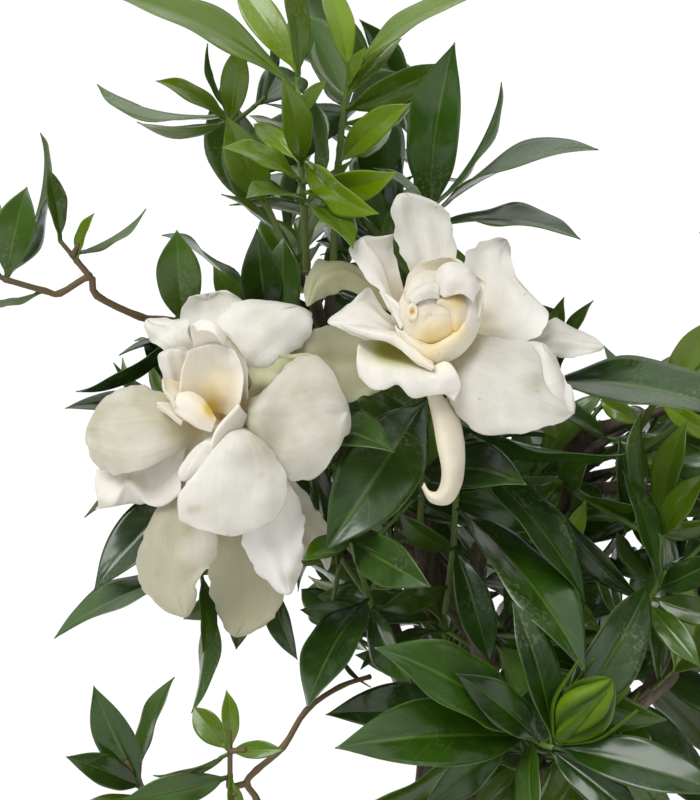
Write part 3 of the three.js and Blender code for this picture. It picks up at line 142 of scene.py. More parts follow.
# Inner shoots, which the solids leave out: first where the drawn view is still open, then all round
INNER_REACH = (16 * MM, 36 * MM)
INNER_LEAF = (36 * MM, 58 * MM)
PAIRED_AT = (2, 3, 4)  # points of an inner shoot that carry a pair of leaves, each turned from the last
SHORTER = (1, 0.72)  # shares of its length at which a leaf is tried
VIEW_TRIES = 4200
VIEW_REACH = 44  # millimetres on the drawn plane from a branch's foot to the place it covers
LEAST_COVERED = 12  # cells of the view
ROUND_TRIES = 2400
ROUND_SPACING = 13 * MM
MOST_INNER_LEAVES = 620
SPACE_CELL = 1.6 * MM
VIEW_CELL = 2.5  # millimetres on the drawn plane
NEIGHBOURS = [(i, j) for i in (-1, 0, 1) for j in (-1, 0, 1)]
CLOSEST_LEAVES = 2 * MM
LOWEST_LEAF = 168 * MM
LOWEST_START = 188 * MM
FOOT_DEPTH = 2.5 * MM

# Petals
HEART_RADIUS = 6.5 * MM
PETAL_BASE_WIDTH = 4 * MM
SIDE_ROLL_START = 0.5
TIP_ROLL_START = 0.7
PETAL_ROWS = 40
PETAL_COLUMNS = 31
PETAL_THICKNESS = 0.5 * MM
PETAL_SEED_STEP = 7.3
FOLD_SEED_STEP = 3.1
FOLD_STEPS = 6
CALM_WIDTH = 12 * MM  # a petal narrower than this, as at its tip, waves less
# painted shade of a petal that gives none of its own
COMMON_SHADE = 0.14
PETAL_GLOW = (9 * MM, 17 * MM)  # how far from the heart its warm tone starts to fade, and over how far

# Relief of a petal: heights in millimetres, and sizes of its bumps
WAVE_HEIGHT = 1.3
PLEAT_HEIGHT = 0.45
CREASE_HEIGHT = 1.5
CREASE_SIZE = 13 * MM
CRINKLE_HEIGHT = 0.8
CRINKLE_SIZE = 4 * MM
NOTCH_DEPTH = 1.3
NOTCH_SIZE = 3.2 * MM
RUFFLE_SIZE = 4.5 * MM
FINE_RUFFLE_SIZE = 1.8 * MM

# Places are right, up and forward in millimetres. A petal has the edge that is seen, from one side of its
# base round to the other, how far each half swells forward, and how far its rim rolls back. A fold has rows
# of places from its base to its rim, or rings of radius and forward. Warm and green are shares of those
# tones, and shade is a share of painted shade, painted light where it is below 0. Glows are gold, marks
# brown, hollow spots are olive painted shade, and shadows are grey painted shadows, painted light where
# their strength is negative: each is right, up, radius and strength.
BLOOMS = {
    "bloom_right": {
        "heart": (26, 22, -14),
        "petals": [
            dict(edge=((19, 35, -4), (14, 48, -2), (13, 58, 0), (17, 62, -3), (26, 59, -6), (31, 52, -8),
                       (31, 35, -8)), swell=(-2, -3), roll=2, shade=0.05),
            dict(edge=((13, 23, 6), (7, 33, 6), (1, 44, 4), (4, 49, 0), (10, 49, -4), (14, 47, -6),
                       (16, 33, -6)), swell=(3, -6), roll=1),
            dict(edge=((6, 29, -14), (-1, 33, -16), (-8, 31, -14), (-13, 28, -8), (-13, 37, -18),
                       (-7, 42, -22), (5, 38, -20)), swell=(3, 5), roll=0, green=0.4, shade=0.85),
            dict(edge=((15, 17, 2), (6, 19, 4), (-1, 21, 4), (-6, 24, 2), (0, 29, 0), (6, 33, -2),
                       (14, 25, 0)), swell=(3, -3), roll=1),
            dict(edge=((30, 0, 6), (38, -9, 10), (52, -10, 8), (67, -4, 2), (64, 8, -2), (58, 17, -2),
                       (42, 19, 2)), swell=(4, 2), roll=1, shade=0.22),
            dict(edge=((34, 33, -8), (34, 42, -10), (39, 47, -12), (47, 48, -14), (50, 37, -12),
                       (60, 25, -12), (51, 17, -8)), swell=(-3, -2), roll=1, shade=-0.2),
            dict(edge=((51, 21, -18), (60, 24, -19), (68, 22, -18), (76, 16, -14), (70, 13, -16),
                       (62, 13, -17), (51, 12, -16)), swell=(2, 2), roll=0),
            dict(edge=((18, 25, 4), (16, 32, 6), (19, 39, 6), (27, 42, 8), (34, 40, 8), (40, 33, 10),
                       (37, 23, 8)), swell=(-6, -6), roll=1, warm=0.1),
        ],
        "folds": [
            # lip that curls over at the lower left, with olive painted shade in its hollow
            dict(hollow=1, rows=(
                ((4, 17.6, -2), (7, 18, -4), (10, 18, -4), (13, 17.4, -4), (17, 15, -2), (20.5, 12.5, 2),
                 (23.5, 10.2, 6), (26.5, 9.4, 10)),
                ((2.6, 16.6, 3), (5.6, 14.8, 1), (9, 13.6, 0), (12.6, 12.6, 1), (16.2, 11.6, 3.5),
                 (20, 10.8, 7), (24, 9.8, 11), (28, 11.4, 12.5)),
                ((2.2, 14.4, 8), (4.6, 12.2, 9), (8.4, 11.2, 10), (12.6, 10.4, 11), (17, 9.4, 12.2),
                 (21.4, 8.4, 13.6), (25.4, 8.2, 14.6), (30.4, 10.6, 14)),
                ((2, 11, 10), (5, 8.2, 11.6), (9, 7.2, 12.6), (13.4, 6.9, 13.2), (18, 5.4, 14.4),
                 (23, 5, 15.4), (27.4, 5.6, 15.6), (32.4, 7.2, 14.2)),
                ((2.9, 6.9, 9.4), (6.3, 3.5, 11), (10, 3.1, 12), (14.2, 4.7, 12.4), (18.4, 1.1, 13.6),
                 (23.2, 1.5, 14), (27, 1.9, 14.2), (33.2, 3.8, 13)),
                ((4.4, 7, 7), (7.2, 4.8, 8.4), (10.4, 4.4, 9.4), (14.2, 5.6, 10), (18.6, 2.6, 10.8),
                 (23.4, 3, 11), (27.4, 2.6, 11.6), (31.2, -0.5, 12)))),
            # folded margin of the petal above the lip
            dict(rows=(
                ((14, 22, 0), (15.5, 21, 0), (17, 20, 1), (19, 19, 1), (21, 17.5, 2), (23, 16, 3)),
                ((-2, 22.7, 4.4), (6, 20.8, 6), (13, 19.4, 8), (18.6, 16.8, 10.6), (21.8, 13.1, 13),
                 (25.2, 9.9, 15)),
                ((-2.2, 22.2, 5.2), (5.8, 19.9, 7), (12.7, 18.1, 9), (17.6, 15.4, 11.6), (21, 12, 13.9),
                 (24.8, 9.4, 15.7)),
                ((-2.4, 21.5, 4.6), (5.6, 18.8, 6.4), (12.4, 16.9, 8.3), (16.6, 13.8, 10.8),
                 (20.3, 10.8, 13.1), (24.4, 8.9, 15.1)))),
            # turned margin of the large lower petal
            dict(rows=(
                ((50, 15, -1), (51, 8, 0), (54, 2, 1), (57, -1, 1), (60, -4, 1)),
                ((57, 16.8, -1.6), (57.6, 9.6, 1.1), (59.2, 3, 2.4), (61.6, -1.4, 2.5), (65, -4.8, 1.4)),
                ((57.5, 16.6, -1.8), (60.2, 11, 0.2), (62.4, 5, 1.2), (64.4, -0.4, 1.4), (66.8, -4.4, 0.6)),
                ((57.8, 16, -2.6), (61.4, 11.6, -2), (63.8, 6.6, -1.6), (65.2, 1.4, -1),
                 (67.4, -4, -0.4)))),
            # hanging petal, rolled lengthwise, that hooks to the left
            dict(warm=0.4, shade=0.2, rows=(
                ((25, 1.6, 0), (28, -6.2, -2), (29.5, -14, -3), (30, -20.5, -3), (29.4, -26, -3),
                 (27, -29.4, -2), (24.6, -29.6, -1), (22.8, -26.6, 0)),
                ((23, 2.6, 4), (25, -6.2, 5), (26.3, -14, 6), (27.6, -20.5, 6), (27.3, -25.1, 5),
                 (25.9, -27.6, 4), (23.6, -27.2, 3), (22.2, -24.9, 2)),
                ((24.6, 2.6, 7), (27.4, -6, 9), (29, -13.6, 10), (30, -20, 10), (29.6, -26, 9),
                 (27, -29.6, 7), (23.8, -28.6, 5), (22.1, -25.4, 3)),
                ((27.4, 1.6, 4), (32.2, -4.6, 5), (34, -12, 6), (34.3, -18.6, 6), (33.4, -25.4, 5),
                 (30, -31, 4), (24.4, -30.8, 3), (21.6, -26, 2)),
                ((26, 1.6, -1), (30.6, -5.4, -1), (32.4, -13, -1), (32.6, -19.4, -1), (31.8, -25.6, -1),
                 (28.8, -30.2, -1), (24.5, -30.1, 0), (21.9, -26, 1)))),
            # cup round the dome: its inner wall at the upper left, then its outer wall with the lip
            dict(warm=0.25, rows=(
                ((19, 26, 1), (19.5, 29, 1), (21, 31.5, 1), (23.5, 33, 1), (26, 33.5, 1)),
                ((15.8, 26.5, 5), (16.4, 31.8, 5), (18.8, 36, 5), (22.4, 38.2, 5), (26.5, 38.4, 5)),
                ((15.8, 26.4, 9), (16.8, 31.4, 10), (19.2, 35.4, 10.4), (22.8, 37, 10.4), (26.6, 36.8, 10)),
                ((17.2, 26.2, 11), (18.4, 30.4, 12.2), (20.6, 33.2, 12.8), (23.6, 34.4, 12.8),
                 (26.5, 34.2, 12.2)))),
            dict(warm=0.1, rows=(
                ((19, 24, 0), (20, 20, 0), (24, 18, 0), (29, 19, 0), (32, 23, 0), (33, 28, 0), (31, 32, 0)),
                ((13.8, 22.5, 6), (16.8, 15.2, 7), (24, 11.2, 8.5), (32.6, 13.4, 8), (38, 20.5, 6.5),
                 (39.6, 29, 5), (37.5, 36, 4)),
                ((14.6, 21.2, 9.5), (18.4, 14.9, 11), (24.6, 12.7, 12.4), (32, 15.7, 12),
                 (36.4, 21.6, 10.5), (37.9, 29, 9), (36, 35, 7.5)),
                ((15.5, 20.7, 10.8), (19.6, 16.8, 12.2), (24.8, 15.3, 13.4), (31.4, 18.7, 13),
                 (34.8, 23.4, 11.8), (36, 29, 10.4), (34.2, 34, 9.2)),
                ((16.4, 21.4, 9.8), (20.3, 18, 11), (24.8, 16.7, 12), (30.4, 19.6, 11.8), (33.2, 24, 10.6),
                 (34.2, 29, 9.4), (32.8, 33, 8.2)))),
            # round dome of wrapped petals, with one that laps over it at the upper left
            dict(round=(24.4, 25.6), tall=1.1, warm=0.35,
                 rings=((8.6, 0), (9.9, 4), (9.9, 8), (8.5, 10.7), (5.8, 12.3), (2.8, 13.1), (0.1, 13.3))),
            dict(rows=(
                ((21, 28, 9), (22.6, 29, 9), (24.4, 29.4, 9), (26.2, 29, 9)),
                ((17.8, 30.4, 11), (20.2, 33.4, 11.6), (23.4, 34.8, 11.8), (26.8, 34.4, 11.6)),
                ((18, 29.8, 13), (20.6, 32.2, 14.2), (23.6, 33.2, 14.6), (26.8, 32.8, 14.4)),
                ((19.2, 28.2, 13), (21.8, 30, 14), (24.2, 30.6, 14.4), (26.9, 30.4, 14.4)))),
            # flap folded over the dome from the upper right, and the curl under it that runs into the cup
            dict(rows=(
                ((25, 30, 1), (27, 31, 1), (29, 31, 1), (31, 30, 1), (33, 28, 1)),
                ((24.6, 36.6, 6), (28, 40.2, 8), (32, 40.8, 9), (36, 38.4, 9), (39, 33.4, 8)),
                ((25, 35.2, 11), (28, 38.2, 13.4), (31.4, 37.8, 14.4), (35.2, 36, 14), (38, 31.8, 12)),
                ((26.2, 32.6, 14), (28.2, 30.8, 15.2), (30.6, 31.6, 15.4), (33.6, 31.8, 14.6),
                 (37, 29.4, 12.4)))),
            dict(warm=0.45, rows=(
                ((27, 32.4, 9), (31, 32.4, 9), (35.4, 29.4, 8.6), (36.4, 24.4, 8), (35, 19, 8)),
                ((26.6, 31.6, 12.4), (30.2, 31.2, 12.6), (33.6, 28.6, 12.2), (34.6, 24.4, 11.4),
                 (33.6, 19.6, 10.8)),
                ((26.2, 30.2, 14), (29.2, 29.6, 14.2), (31.6, 27.4, 13.8), (32.4, 24.2, 13),
                 (31.8, 20.6, 12)),
                ((25.8, 28.8, 13), (28, 28.2, 13.2), (29.8, 26.6, 12.8), (30.4, 24, 12.2),
                 (30, 21.4, 11.2)))),
            # small rolled ear at the left of the dome
            dict(round=(18.8, 26.4), tall=1.6, warm=0.35,
                 rings=((1.2, 9), (1.6, 12.1), (1.5, 13.4), (1.1, 13.7), (0.6, 12.9), (0.1, 12.2))),
            # thin petal at the left of the cup
            dict(rows=(
                ((19, 25, 0), (19, 24.4, 0), (19, 23.8, 0), (19, 23, 0)),
                ((9.6, 32, 5.6), (12.4, 30.6, 6.6), (15.6, 27.4, 8.6), (17, 23.6, 9.4)),
                ((9.4, 31.6, 6.2), (11.9, 29.4, 7.4), (14.8, 25.9, 9.4), (16, 22.2, 10.2)),
                ((9.6, 31, 5.6), (11.2, 28, 6.8), (13.6, 24.4, 8.8), (15.2, 21, 9.8)))),
        ],
        "glows": ((24.6, 17.8, 6, 1.2), (32.4, 21, 3.6, 1), (31.6, 29.6, 3, 0.9), (18.8, 26.4, 0.9, 1.2)),
        "hollow_shadows": ((10.5, 15.4, 3.6, 2.1), (14.5, 14.2, 3, 2.1), (18.4, 12.8, 2.4, 1.4)),
        "shadows": ((40, 24, 5, 0.24), (42, 12, 5, 0.2), (13, 24, 4, 0.2), (56, 5, 3.5, 0.4)),
        "marks": ((58.6, 28.6, 0.9, 0.9), (36.5, 38, 1, 0.6), (21.2, 17.2, 0.6, 0.8)),
    },
    "bloom_left": {
        "heart": (-38, -4, -16),
        "petals": [
            dict(edge=((-40, 14, -6), (-39, 25, -8), (-31, 30, -8), (-15, 28, -10), (-11, 23, -8),
                       (-15, 16, -6), (-26, 9, -4)), swell=(2, 3), roll=1),
            dict(edge=((-48, 17, -10), (-51, 25, -12), (-48, 31, -12), (-42, 30, -14), (-37, 33, -14),
                       (-33, 29, -12), (-33, 17, -8)), swell=(-3, -2), roll=1),
            dict(edge=((-55, 14, -8), (-60, 17, -10), (-62, 21, -10), (-61, 24, -10), (-55, 24, -10),
                       (-50, 24, -10), (-47, 17, -6)), swell=(2, 2), roll=1),
            dict(edge=((-54, 0, -2), (-56, 6, 0), (-57, 13, 2), (-53, 15, 2), (-48, 15, 2), (-46, 10, 0),
                       (-46, 2, -4)), swell=(3, -3), roll=1),
            dict(edge=((-53, 1, 0), (-63, 5, 0), (-73, 1, -2), (-79, -9, -2), (-77, -18, 0), (-66, -22, 4),
                       (-51, -15, 4)), swell=(3, 4), roll=2, shade=0.54),
            dict(edge=((-50, -4, -8), (-58, -9, -8), (-60, -17, -8), (-54, -25, -6), (-44, -26, -4),
                       (-38, -18, -6), (-36, -8, -8)), swell=(2, 2), roll=0, shade=0.2),
            dict(edge=((-57, -31, -6), (-64, -48, -6), (-60, -59, -4), (-49, -65, 0), (-45, -54, -2),
                       (-40, -45, -2), (-41, -31, -4)), swell=(3, 3), roll=1, shade=0.84),
            dict(edge=((-41, -40, -14), (-42, -54, -18), (-40, -65, -18), (-34, -71, -18), (-24, -66, -16),
                       (-20, -57, -14), (-26, -37, -10)), swell=(-3, -3), roll=1, green=0.15, shade=0.88),
            dict(edge=((-33, -36, -6), (-31, -47, -4), (-24, -56, -4), (-18, -58, -2), (-15, -48, -2),
                       (-14, -36, -4), (-20, -22, -4)), swell=(4, 3), roll=1, shade=-0.3),
            dict(edge=((-22, -36, -12), (-15, -48, -12), (-10, -47, -12), (-7, -51, -8), (-5, -41, -13),
                       (-10, -31, -13), (-19, -22, -9)), swell=(2, 2), roll=0, shade=0.4),
            dict(edge=((-43, -17, 10), (-52.5, -27, 14), (-50, -36.5, 12), (-37, -39.4, 10), (-24, -36, 10),
                       (-19, -24, 10), (-26, -12, 10)), swell=(6, 6), roll=3, shade=0.12),
            dict(edge=((-28, 2, 2), (-19, 11, 0), (-8, 12, 0), (-1, -3, 2), (-5, -17, 6), (-18, -24, 8),
                       (-28, -13, 8)), swell=(3, 4), roll=2, shade=0.5),
            dict(edge=((-18, 14, -10), (-6, 22, -12), (4, 18, -12), (10, 6, -10), (5, 1, -10), (-2, 0, -10),
                       (-9, 8, -6)), swell=(-2, -2), roll=1, green=0.25, shade=1.0),
            dict(edge=((-48, 4, 2), (-48, 13, 4), (-45, 20, 4), (-41, 21, 4), (-35, 17, 4), (-31, 9, 4),
                       (-31, 0, 2)), swell=(-5, -5), roll=1),
            dict(edge=((-30, 4, -3), (-31, 9, -2), (-30.5, 13.2, -2), (-22, 13.8, -3), (-12, 13.4, -5),
                       (-8, 10, -6), (-16, 4, -5)), swell=(1, 1), roll=0, green=0.75, shade=0),
            dict(edge=((-44, -12, 6), (-48, -15, 8), (-51, -21, 8), (-50, -25, 8), (-45, -22, 10),
                       (-41, -18, 10), (-37, -14, 10)), swell=(2, 3), roll=0),
        ],
        "folds": [
            # wavy petal at the lower left, folded back along its edge
            dict(rows=(
                ((-76, -21, -8), (-71, -20, -8), (-66, -19, -8), (-62, -18, -7), (-57, -17, -6),
                 (-53, -15, -4), (-49, -13, -2)),
                ((-76.5, -25.5, -6), (-71, -25, -3.5), (-66.6, -23, -4), (-62.6, -22.6, -7),
                 (-59, -24.5, -4), (-55, -24.5, -1), (-50.5, -22, 0)),
                ((-75.4, -31, -7), (-70.4, -30.4, -3), (-66.9, -24.9, -1.5), (-63.2, -27.4, -3.5),
                 (-60.6, -31, -3), (-56, -31.4, 0), (-50.6, -27.6, 2)),
                ((-76.4, -32.6, -11), (-71, -32, -10), (-66, -31, -9), (-63, -31.2, -9), (-60.2, -30.4, -8),
                 (-55.6, -30.2, -5), (-50.4, -26.4, -2)))),
            # knotted crest above the hood
            dict(ruffle=1.6, rows=(
                ((-46, 13, 3), (-43.5, 13, 3), (-41, 13, 3), (-38.5, 13, 3)),
                ((-47.8, 20.4, 6), (-44.6, 22, 7), (-41.2, 21.6, 7), (-38, 19, 6)),
                ((-47.2, 22.4, 8), (-44, 24, 9.6), (-40, 22.6, 10), (-37.2, 19, 8.6)),
                ((-45.6, 20, 9.6), (-43.4, 20.8, 11.6), (-40.6, 19.4, 11.8), (-38, 16.6, 9.8)))),
            # hood over the throat
            dict(ruffle=1.3, rows=(
                ((-43, -4, -1), (-41.5, -3.6, -3), (-40, -3.6, -3), (-38.5, -3.8, -3), (-37, -4.6, -1)),
                ((-50.4, 0.5, 8), (-46, 1.2, 4), (-41, 1.4, 2.4), (-36.5, 0.4, 4), (-33.4, -1.8, 8.5)),
                ((-50.5, 8.4, 9), (-46.2, 9, 5.2), (-41.4, 9.4, 4), (-36.4, 9.2, 5.2), (-32, 7.8, 9)),
                ((-48.2, 15, 8.4), (-45.2, 16, 6.4), (-41.4, 16.6, 5.8), (-37.4, 16.3, 6.2),
                 (-34.6, 14.8, 8.2)))),
            # glossy lip at the throat's lower left
            dict(rows=(
                ((-51.4, 2, 9.5), (-48, 2.4, 11), (-44.6, 0.6, 12), (-42.2, -2.6, 12), (-40.2, -5.8, 11.4)),
                ((-52, 0.8, 11.6), (-48.8, 0.8, 14), (-45.4, -1.2, 15), (-43, -4.2, 14.6),
                 (-40.8, -7.2, 12.6)),
                ((-52.4, -1.8, 11.8), (-49.6, -2.4, 14), (-46.6, -4.2, 14.8), (-44.2, -6.6, 13.8),
                 (-41.2, -8.5, 12)),
                ((-52, -4.2, 9.6), (-50, -5.6, 11), (-47.2, -7.4, 11.6), (-44.6, -8.7, 11),
                 (-41.5, -9.3, 10.2)),
                ((-46, -4, 2), (-45, -5, 2), (-43.5, -5.6, 2), (-42, -6, 2), (-40.5, -6, 2)))),
            # petal with a rolled edge at the throat's right
            dict(rows=(
                ((-36, -4, 1), (-36.5, -5, 1), (-37, -6, 1), (-38, -7, 1), (-39, -8, 1)),
                ((-33.6, -1.4, 9.5), (-35.8, -3.8, 11), (-38.3, -6.5, 12.4), (-40.4, -9.4, 13),
                 (-41.6, -13.2, 13.4)),
                ((-32.4, -2.8, 9), (-34.4, -5.6, 10.4), (-36.8, -8.6, 11.6), (-39.2, -11.4, 12.4),
                 (-41.1, -14.4, 13)),
                ((-30.6, -5, 5), (-32, -8, 6), (-34.2, -11, 7), (-37, -13.6, 9), (-40.4, -15.4, 12)))),
            # two curled ribbons at the left of the lip
            dict(warm=0.2, rows=(
                ((-47, 4, 2), (-47, 2, 2), (-46.5, 0, 2), (-46, -2, 2)),
                ((-55.1, 6.4, 8.4), (-54.6, 3.2, 9.6), (-52.5, 0.8, 10.6), (-51.4, -1.8, 11)),
                ((-55.8, 6.4, 9.4), (-55.2, 2.9, 10.8), (-53.1, 0.2, 11.8), (-52, -2.4, 12.2)),
                ((-56.4, 6.2, 8.4), (-55.9, 2.6, 9.4), (-53.8, -0.5, 10.4), (-52.7, -2.9, 10.8)))),
            dict(warm=0.2, rows=(
                ((-46, -2, 2), (-46, -3, 2), (-45.5, -4, 2), (-45, -5, 2)),
                ((-57, -0.6, 8.6), (-54.8, -2.2, 9.8), (-52, -4.6, 10.2), (-50, -6.2, 10.2)),
                ((-57.5, -1.3, 9.4), (-55.3, -2.9, 10.8), (-52.4, -5.4, 11.2), (-50.3, -6.9, 11.2)),
                ((-57.9, -2, 8.4), (-55.7, -3.7, 9.4), (-52.8, -6.2, 9.8), (-50.6, -7.6, 10)))),
        ],
        "glows": ((-41.6, -2.8, 2.6, 2), (-40.6, 3, 6.2, 0.9), (-53, 8, 5, 0.35)),
        "hollow_shadows": (),
        "shadows": ((-55, -3, 6, 0.5), (-50, -9, 6, 0.3), (-25, -12, 6, 0.2), (-48, -60, 6, 0.5),
                    (-45, -43, 6, -0.6), (-18, -54, 3, 0.7)),
        "marks": ((-47.6, -32.9, 1.3, 0.9), (-45.6, -32.6, 1, 0.7), (-26.7, -22.6, 0.8, 0.8),
                  (-14.3, -8.1, 0.8, 0.8), (-53, -9.6, 1.2, 0.5), (-57.7, -52.2, 0.8, 0.7),
                  (-49, -37.7, 0.8, 0.7), (-75, -31, 1.2, 0.6), (-56, 7, 1.4, 0.4)),
    },
}

# Pot and soil
POT_FOOT = 62 * MM
POT_FLOOR = 9 * MM
POT_SIDES = 96
DRAIN_RADIUS = 6 * MM
DRAIN_CIRCLE = 30 * MM
SOIL_SIDES = 160
SOIL_RINGS = 44
SOIL_DOME = 6 * MM
SOIL_LOW = 0.6 * MM  # how far the crumbs start below the solid's top

# Bark: sizes of its lumps and of its lengthwise cracks
LUMP_SIZE = 3.2 * MM
CRACK_SIZE = 2 * MM

# Flower bud
BUD_STEM = ((60, -104.5, 1.5), (62.4, -101.8, 2.4))
BUD_LENGTH = 25 * MM
BUD_ROWS = 40
BUD_SIDES = 60
BUD_SECTIONS = ((0, 1.8), (0.12, 4), (0.35, 7.1), (0.6, 7.4), (0.82, 4.8), (0.96, 1.9), (1, 0.3))
BUD_LOBES = 5
BUD_TWIST = math.radians(70)
SEPAL_LENGTH = 24 * MM
SEPAL_SLACK = 0.14  # how far a sepal leans out past the bud, to its length
SEPAL_HALF_WIDTH = 1.6 * MM
SEPAL_THICKNESS = 0.7 * MM

# Sockets of a Mix node that share their names with others, and the range that leaves a value as it is
MIX_A = 6
MIX_B = 7
MIX_RESULT = 2
WHOLE = (0, 1, 0, 1)


# Small helpers

def linear(colour):
    """A hex sRGB colour as linear red, green, blue and alpha."""
    parts = [int(colour[i:i + 2], 16) / 255 for i in (1, 3, 5)]
    return tuple(p / 12.92 if p <= 0.04045 else ((p + 0.055) / 1.055) ** 2.4 for p in parts) + (1.0,)


def seen(place):
    """The point that is seen at right and up, in millimetres, and lies forward of the drawn plane."""
    right, up, forward = (value * MM for value in place)
    nearer = 1 - forward / VIEW_DISTANCE
    return VIEW_MIDDLE + RIGHT * right * nearer + UP * up * nearer + FORWARD * forward


def unit(vector):
    """The vector at a length of 1."""
    return vector / np.linalg.norm(vector)


def add_object(name, data):
    """A new object in the scene."""
    piece = bpy.data.objects.new(name, data)
    bpy.context.scene.collection.objects.link(piece)
    return piece


def add_node(tree, kind, values=(), links=None, **settings):
    """Adds a shader node with its settings, the values of its sockets, and its links.

    Values are given by socket, or in order for the sockets after the first. Each link is given by the
    socket that it goes to, and comes from a node's first output or from (node, output).
    """
    node = tree.nodes.new("ShaderNode" + kind)
    for name, value in settings.items():
        setattr(node, name, value)
    for socket, value in values.items() if isinstance(values, dict) else enumerate(values, 1):
        node.inputs[socket].default_value = value
    for socket, source in (links or {}).items():
        start, output = source if isinstance(source, tuple) else (source, 0)
        tree.links.new(start.outputs[output], node.inputs[socket])
    return node


class Gathered:
    """The points and faces of one piece, gathered before its mesh is made."""

    def __init__(self):
        self.points, self.faces, self.uvs, self.tones, self.kinds = [], [], [], [], []

    def add(self, points, faces, uvs=(0, 0), tones=(1, 1, 1, 1), kind=0):
        """Adds points and faces. Each of the four tones is one number, or one for each point."""
        first, count = len(self.points), len(points)
        self.points.extend(map(tuple, points))
        self.faces.extend([tuple(first + corner for corner in face) for face in faces])
        self.uvs.append(np.broadcast_to(uvs, (count, 2)))
        self.tones.append(np.stack([np.broadcast_to(tone, count) for tone in tones], -1))
        self.kinds.extend([kind] * len(faces))

    def make(self, name, materials, replaced):
        """The piece as an object that stands in for the solid of one node."""
        mesh = bpy.data.meshes.new(name)
        mesh.from_pydata(self.points, [], self.faces)
        mesh.polygons.foreach_set("use_smooth", [True] * len(mesh.polygons))
        mesh.polygons.foreach_set("material_index", self.kinds)
        for material in materials:
            mesh.materials.append(material)
        corners = np.empty(len(mesh.loops), int)
        mesh.loops.foreach_get("vertex_index", corners)
        mesh.uv_layers.new(name="UVMap").data.foreach_set("uv", np.concatenate(self.uvs)[corners].ravel())
        tone = mesh.color_attributes.new("tone", "FLOAT_COLOR", "POINT")
        tone.data.foreach_set("color", np.concatenate(self.tones).ravel())
        mesh.update()
        piece = add_object(name, mesh)
        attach(piece, "root")
        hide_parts(replaced)
        return piece


def sheet(middle, thickness):
    """A closed sheet round a grid of middle points: its points and its faces."""
    rows, columns = middle.shape[:2]
    along = np.gradient(middle, axis=0)
    across = np.gradient(middle, axis=1)
    normal = np.cross(across, along)
    normal /= np.maximum(np.linalg.norm(normal, axis=2, keepdims=True), 1e-12)
    offset = normal * thickness[..., None] / 2
    points = np.concatenate([(middle + offset).reshape(-1, 3), (middle - offset).reshape(-1, 3)])
    index = np.arange(rows * columns).reshape(rows, columns)
    upper = np.stack([index[:-1, :-1], index[:-1, 1:], index[1:, 1:], index[1:, :-1]], -1).reshape(-1, 4)
    lower = upper[:, ::-1] + rows * columns
    rim = np.concatenate([index[0], index[1:, -1], index[-1, -2::-1], index[-2:0:-1, 0]])
    after = np.roll(rim, -1)
    edge = np.stack([after, rim, rim + rows * columns, after + rows * columns], -1)
    return points, np.concatenate([upper, lower, edge])


def both_sides(u, v):
    """The UV places of a sheet's points, the same on its upper and its lower side."""
    return np.tile(np.stack([u.ravel(), v.ravel()], -1), (2, 1))


def smooth_steps(table, places):
    """Values between the points of a table, on a smooth curve that keeps each rise and fall."""
    xs, ys = np.array(table, float).T
    slopes = np.gradient(ys, xs)
    i = np.clip(np.searchsorted(xs, places) - 1, 0, len(xs) - 2)
    span = xs[i + 1] - xs[i]
    t = (places - xs[i]) / span
    return (ys[i] * (1 + 2 * t) * (1 - t) ** 2 + ys[i + 1] * t * t * (3 - 2 * t)
            + slopes[i] * span * t * (1 - t) ** 2 - slopes[i + 1] * span * t * t * (1 - t))


def on_curve(points, place):
    """The point of a smooth line through points. At place 1.5 it is half way from the second to the third."""
    i = min(int(place), len(points) - 2)
    t = place - i
    a, b, c, d = (points[max(0, min(len(points) - 1, i + k))] for k in (-1, 0, 1, 2))
    return 0.5 * (2 * b + (c - a) * t + (2 * a - 5 * b + 4 * c - d) * t * t
                  + (3 * b - a - 3 * c + d) * t ** 3)


def curve_through(points, steps):
    """A smooth line through points, with steps stretches between each two."""
    points = [np.asarray(p, float) for p in points]
    line = [on_curve(points, i + k / steps) for i in range(len(points) - 1) for k in range(steps)]
    return np.array([*line, points[-1]])


def ring_faces(rings, sides, first=0):
    """The faces between rings of corners that follow each other."""
    return [(low + k, low + (k + 1) % sides, low + sides + (k + 1) % sides, low + sides + k)
            for low in range(first, first + (rings - 1) * sides, sides) for k in range(sides)]


def closed_rings(rings, sides):
    """The faces of rings of corners, with both ends closed."""
    last = (rings - 1) * sides
    return [*ring_faces(rings, sides), tuple(range(sides - 1, -1, -1)), tuple(range(last, last + sides))]


def tube(line, radii, sides=8):
    """A tube round a line: its points and faces, with closed ends."""
    ahead = np.gradient(line, axis=0)
    ahead /= np.linalg.norm(ahead, axis=1, keepdims=True)
    across = np.array((0.31, 0.9, 0.23))
    turns = np.arange(sides) * 2 * math.pi / sides
    rings = []
    for point, heading, radius in zip(line, ahead, radii):
        across = unit(across - heading * across.dot(heading))
        other = np.cross(heading, across)
        rings.append(point + radius * (np.outer(np.cos(turns), across) + np.outer(np.sin(turns), other)))
    return np.concatenate(rings), closed_rings(len(line), sides)


# Leaves, read back from the solids

def merged(node):
    """A node's mesh with its corners joined."""
    mesh = bmesh.new()
    mesh.from_mesh(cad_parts[node].data)
    bmesh.ops.remove_doubles(mesh, verts=mesh.verts, dist=SAME_CORNER)
    return mesh


def section_across(ring):
    """The middle, normal and width of a blade's section from its four corners, or None."""
    first = ring[0]
    joined = [v for v in ring[1:] if any(e.other_vert(first) is v for e in first.link_edges)]
    far = [v for v in ring[1:] if v not in joined]
    if len(joined) != 2 or len(far) != 1:
        return None
    pairs = sorted([(first.co, far[0].co), (joined[0].co, joined[1].co)], key=lambda p: (p[0] - p[1]).length)
    (top, bottom), (left, right) = [tuple(np.array(corner) for corner in pair) for pair in pairs]
    if abs(np.linalg.norm(top - bottom) - BLADE_THICKNESS) > SAME_THICKNESS:
        return None
    middle = (top + bottom) / 2
    normal = unit(top - bottom)
    if normal.dot((left + right) / 2 - middle) < 0:
        normal = -normal
    return middle, normal, np.linalg.norm(left - right)


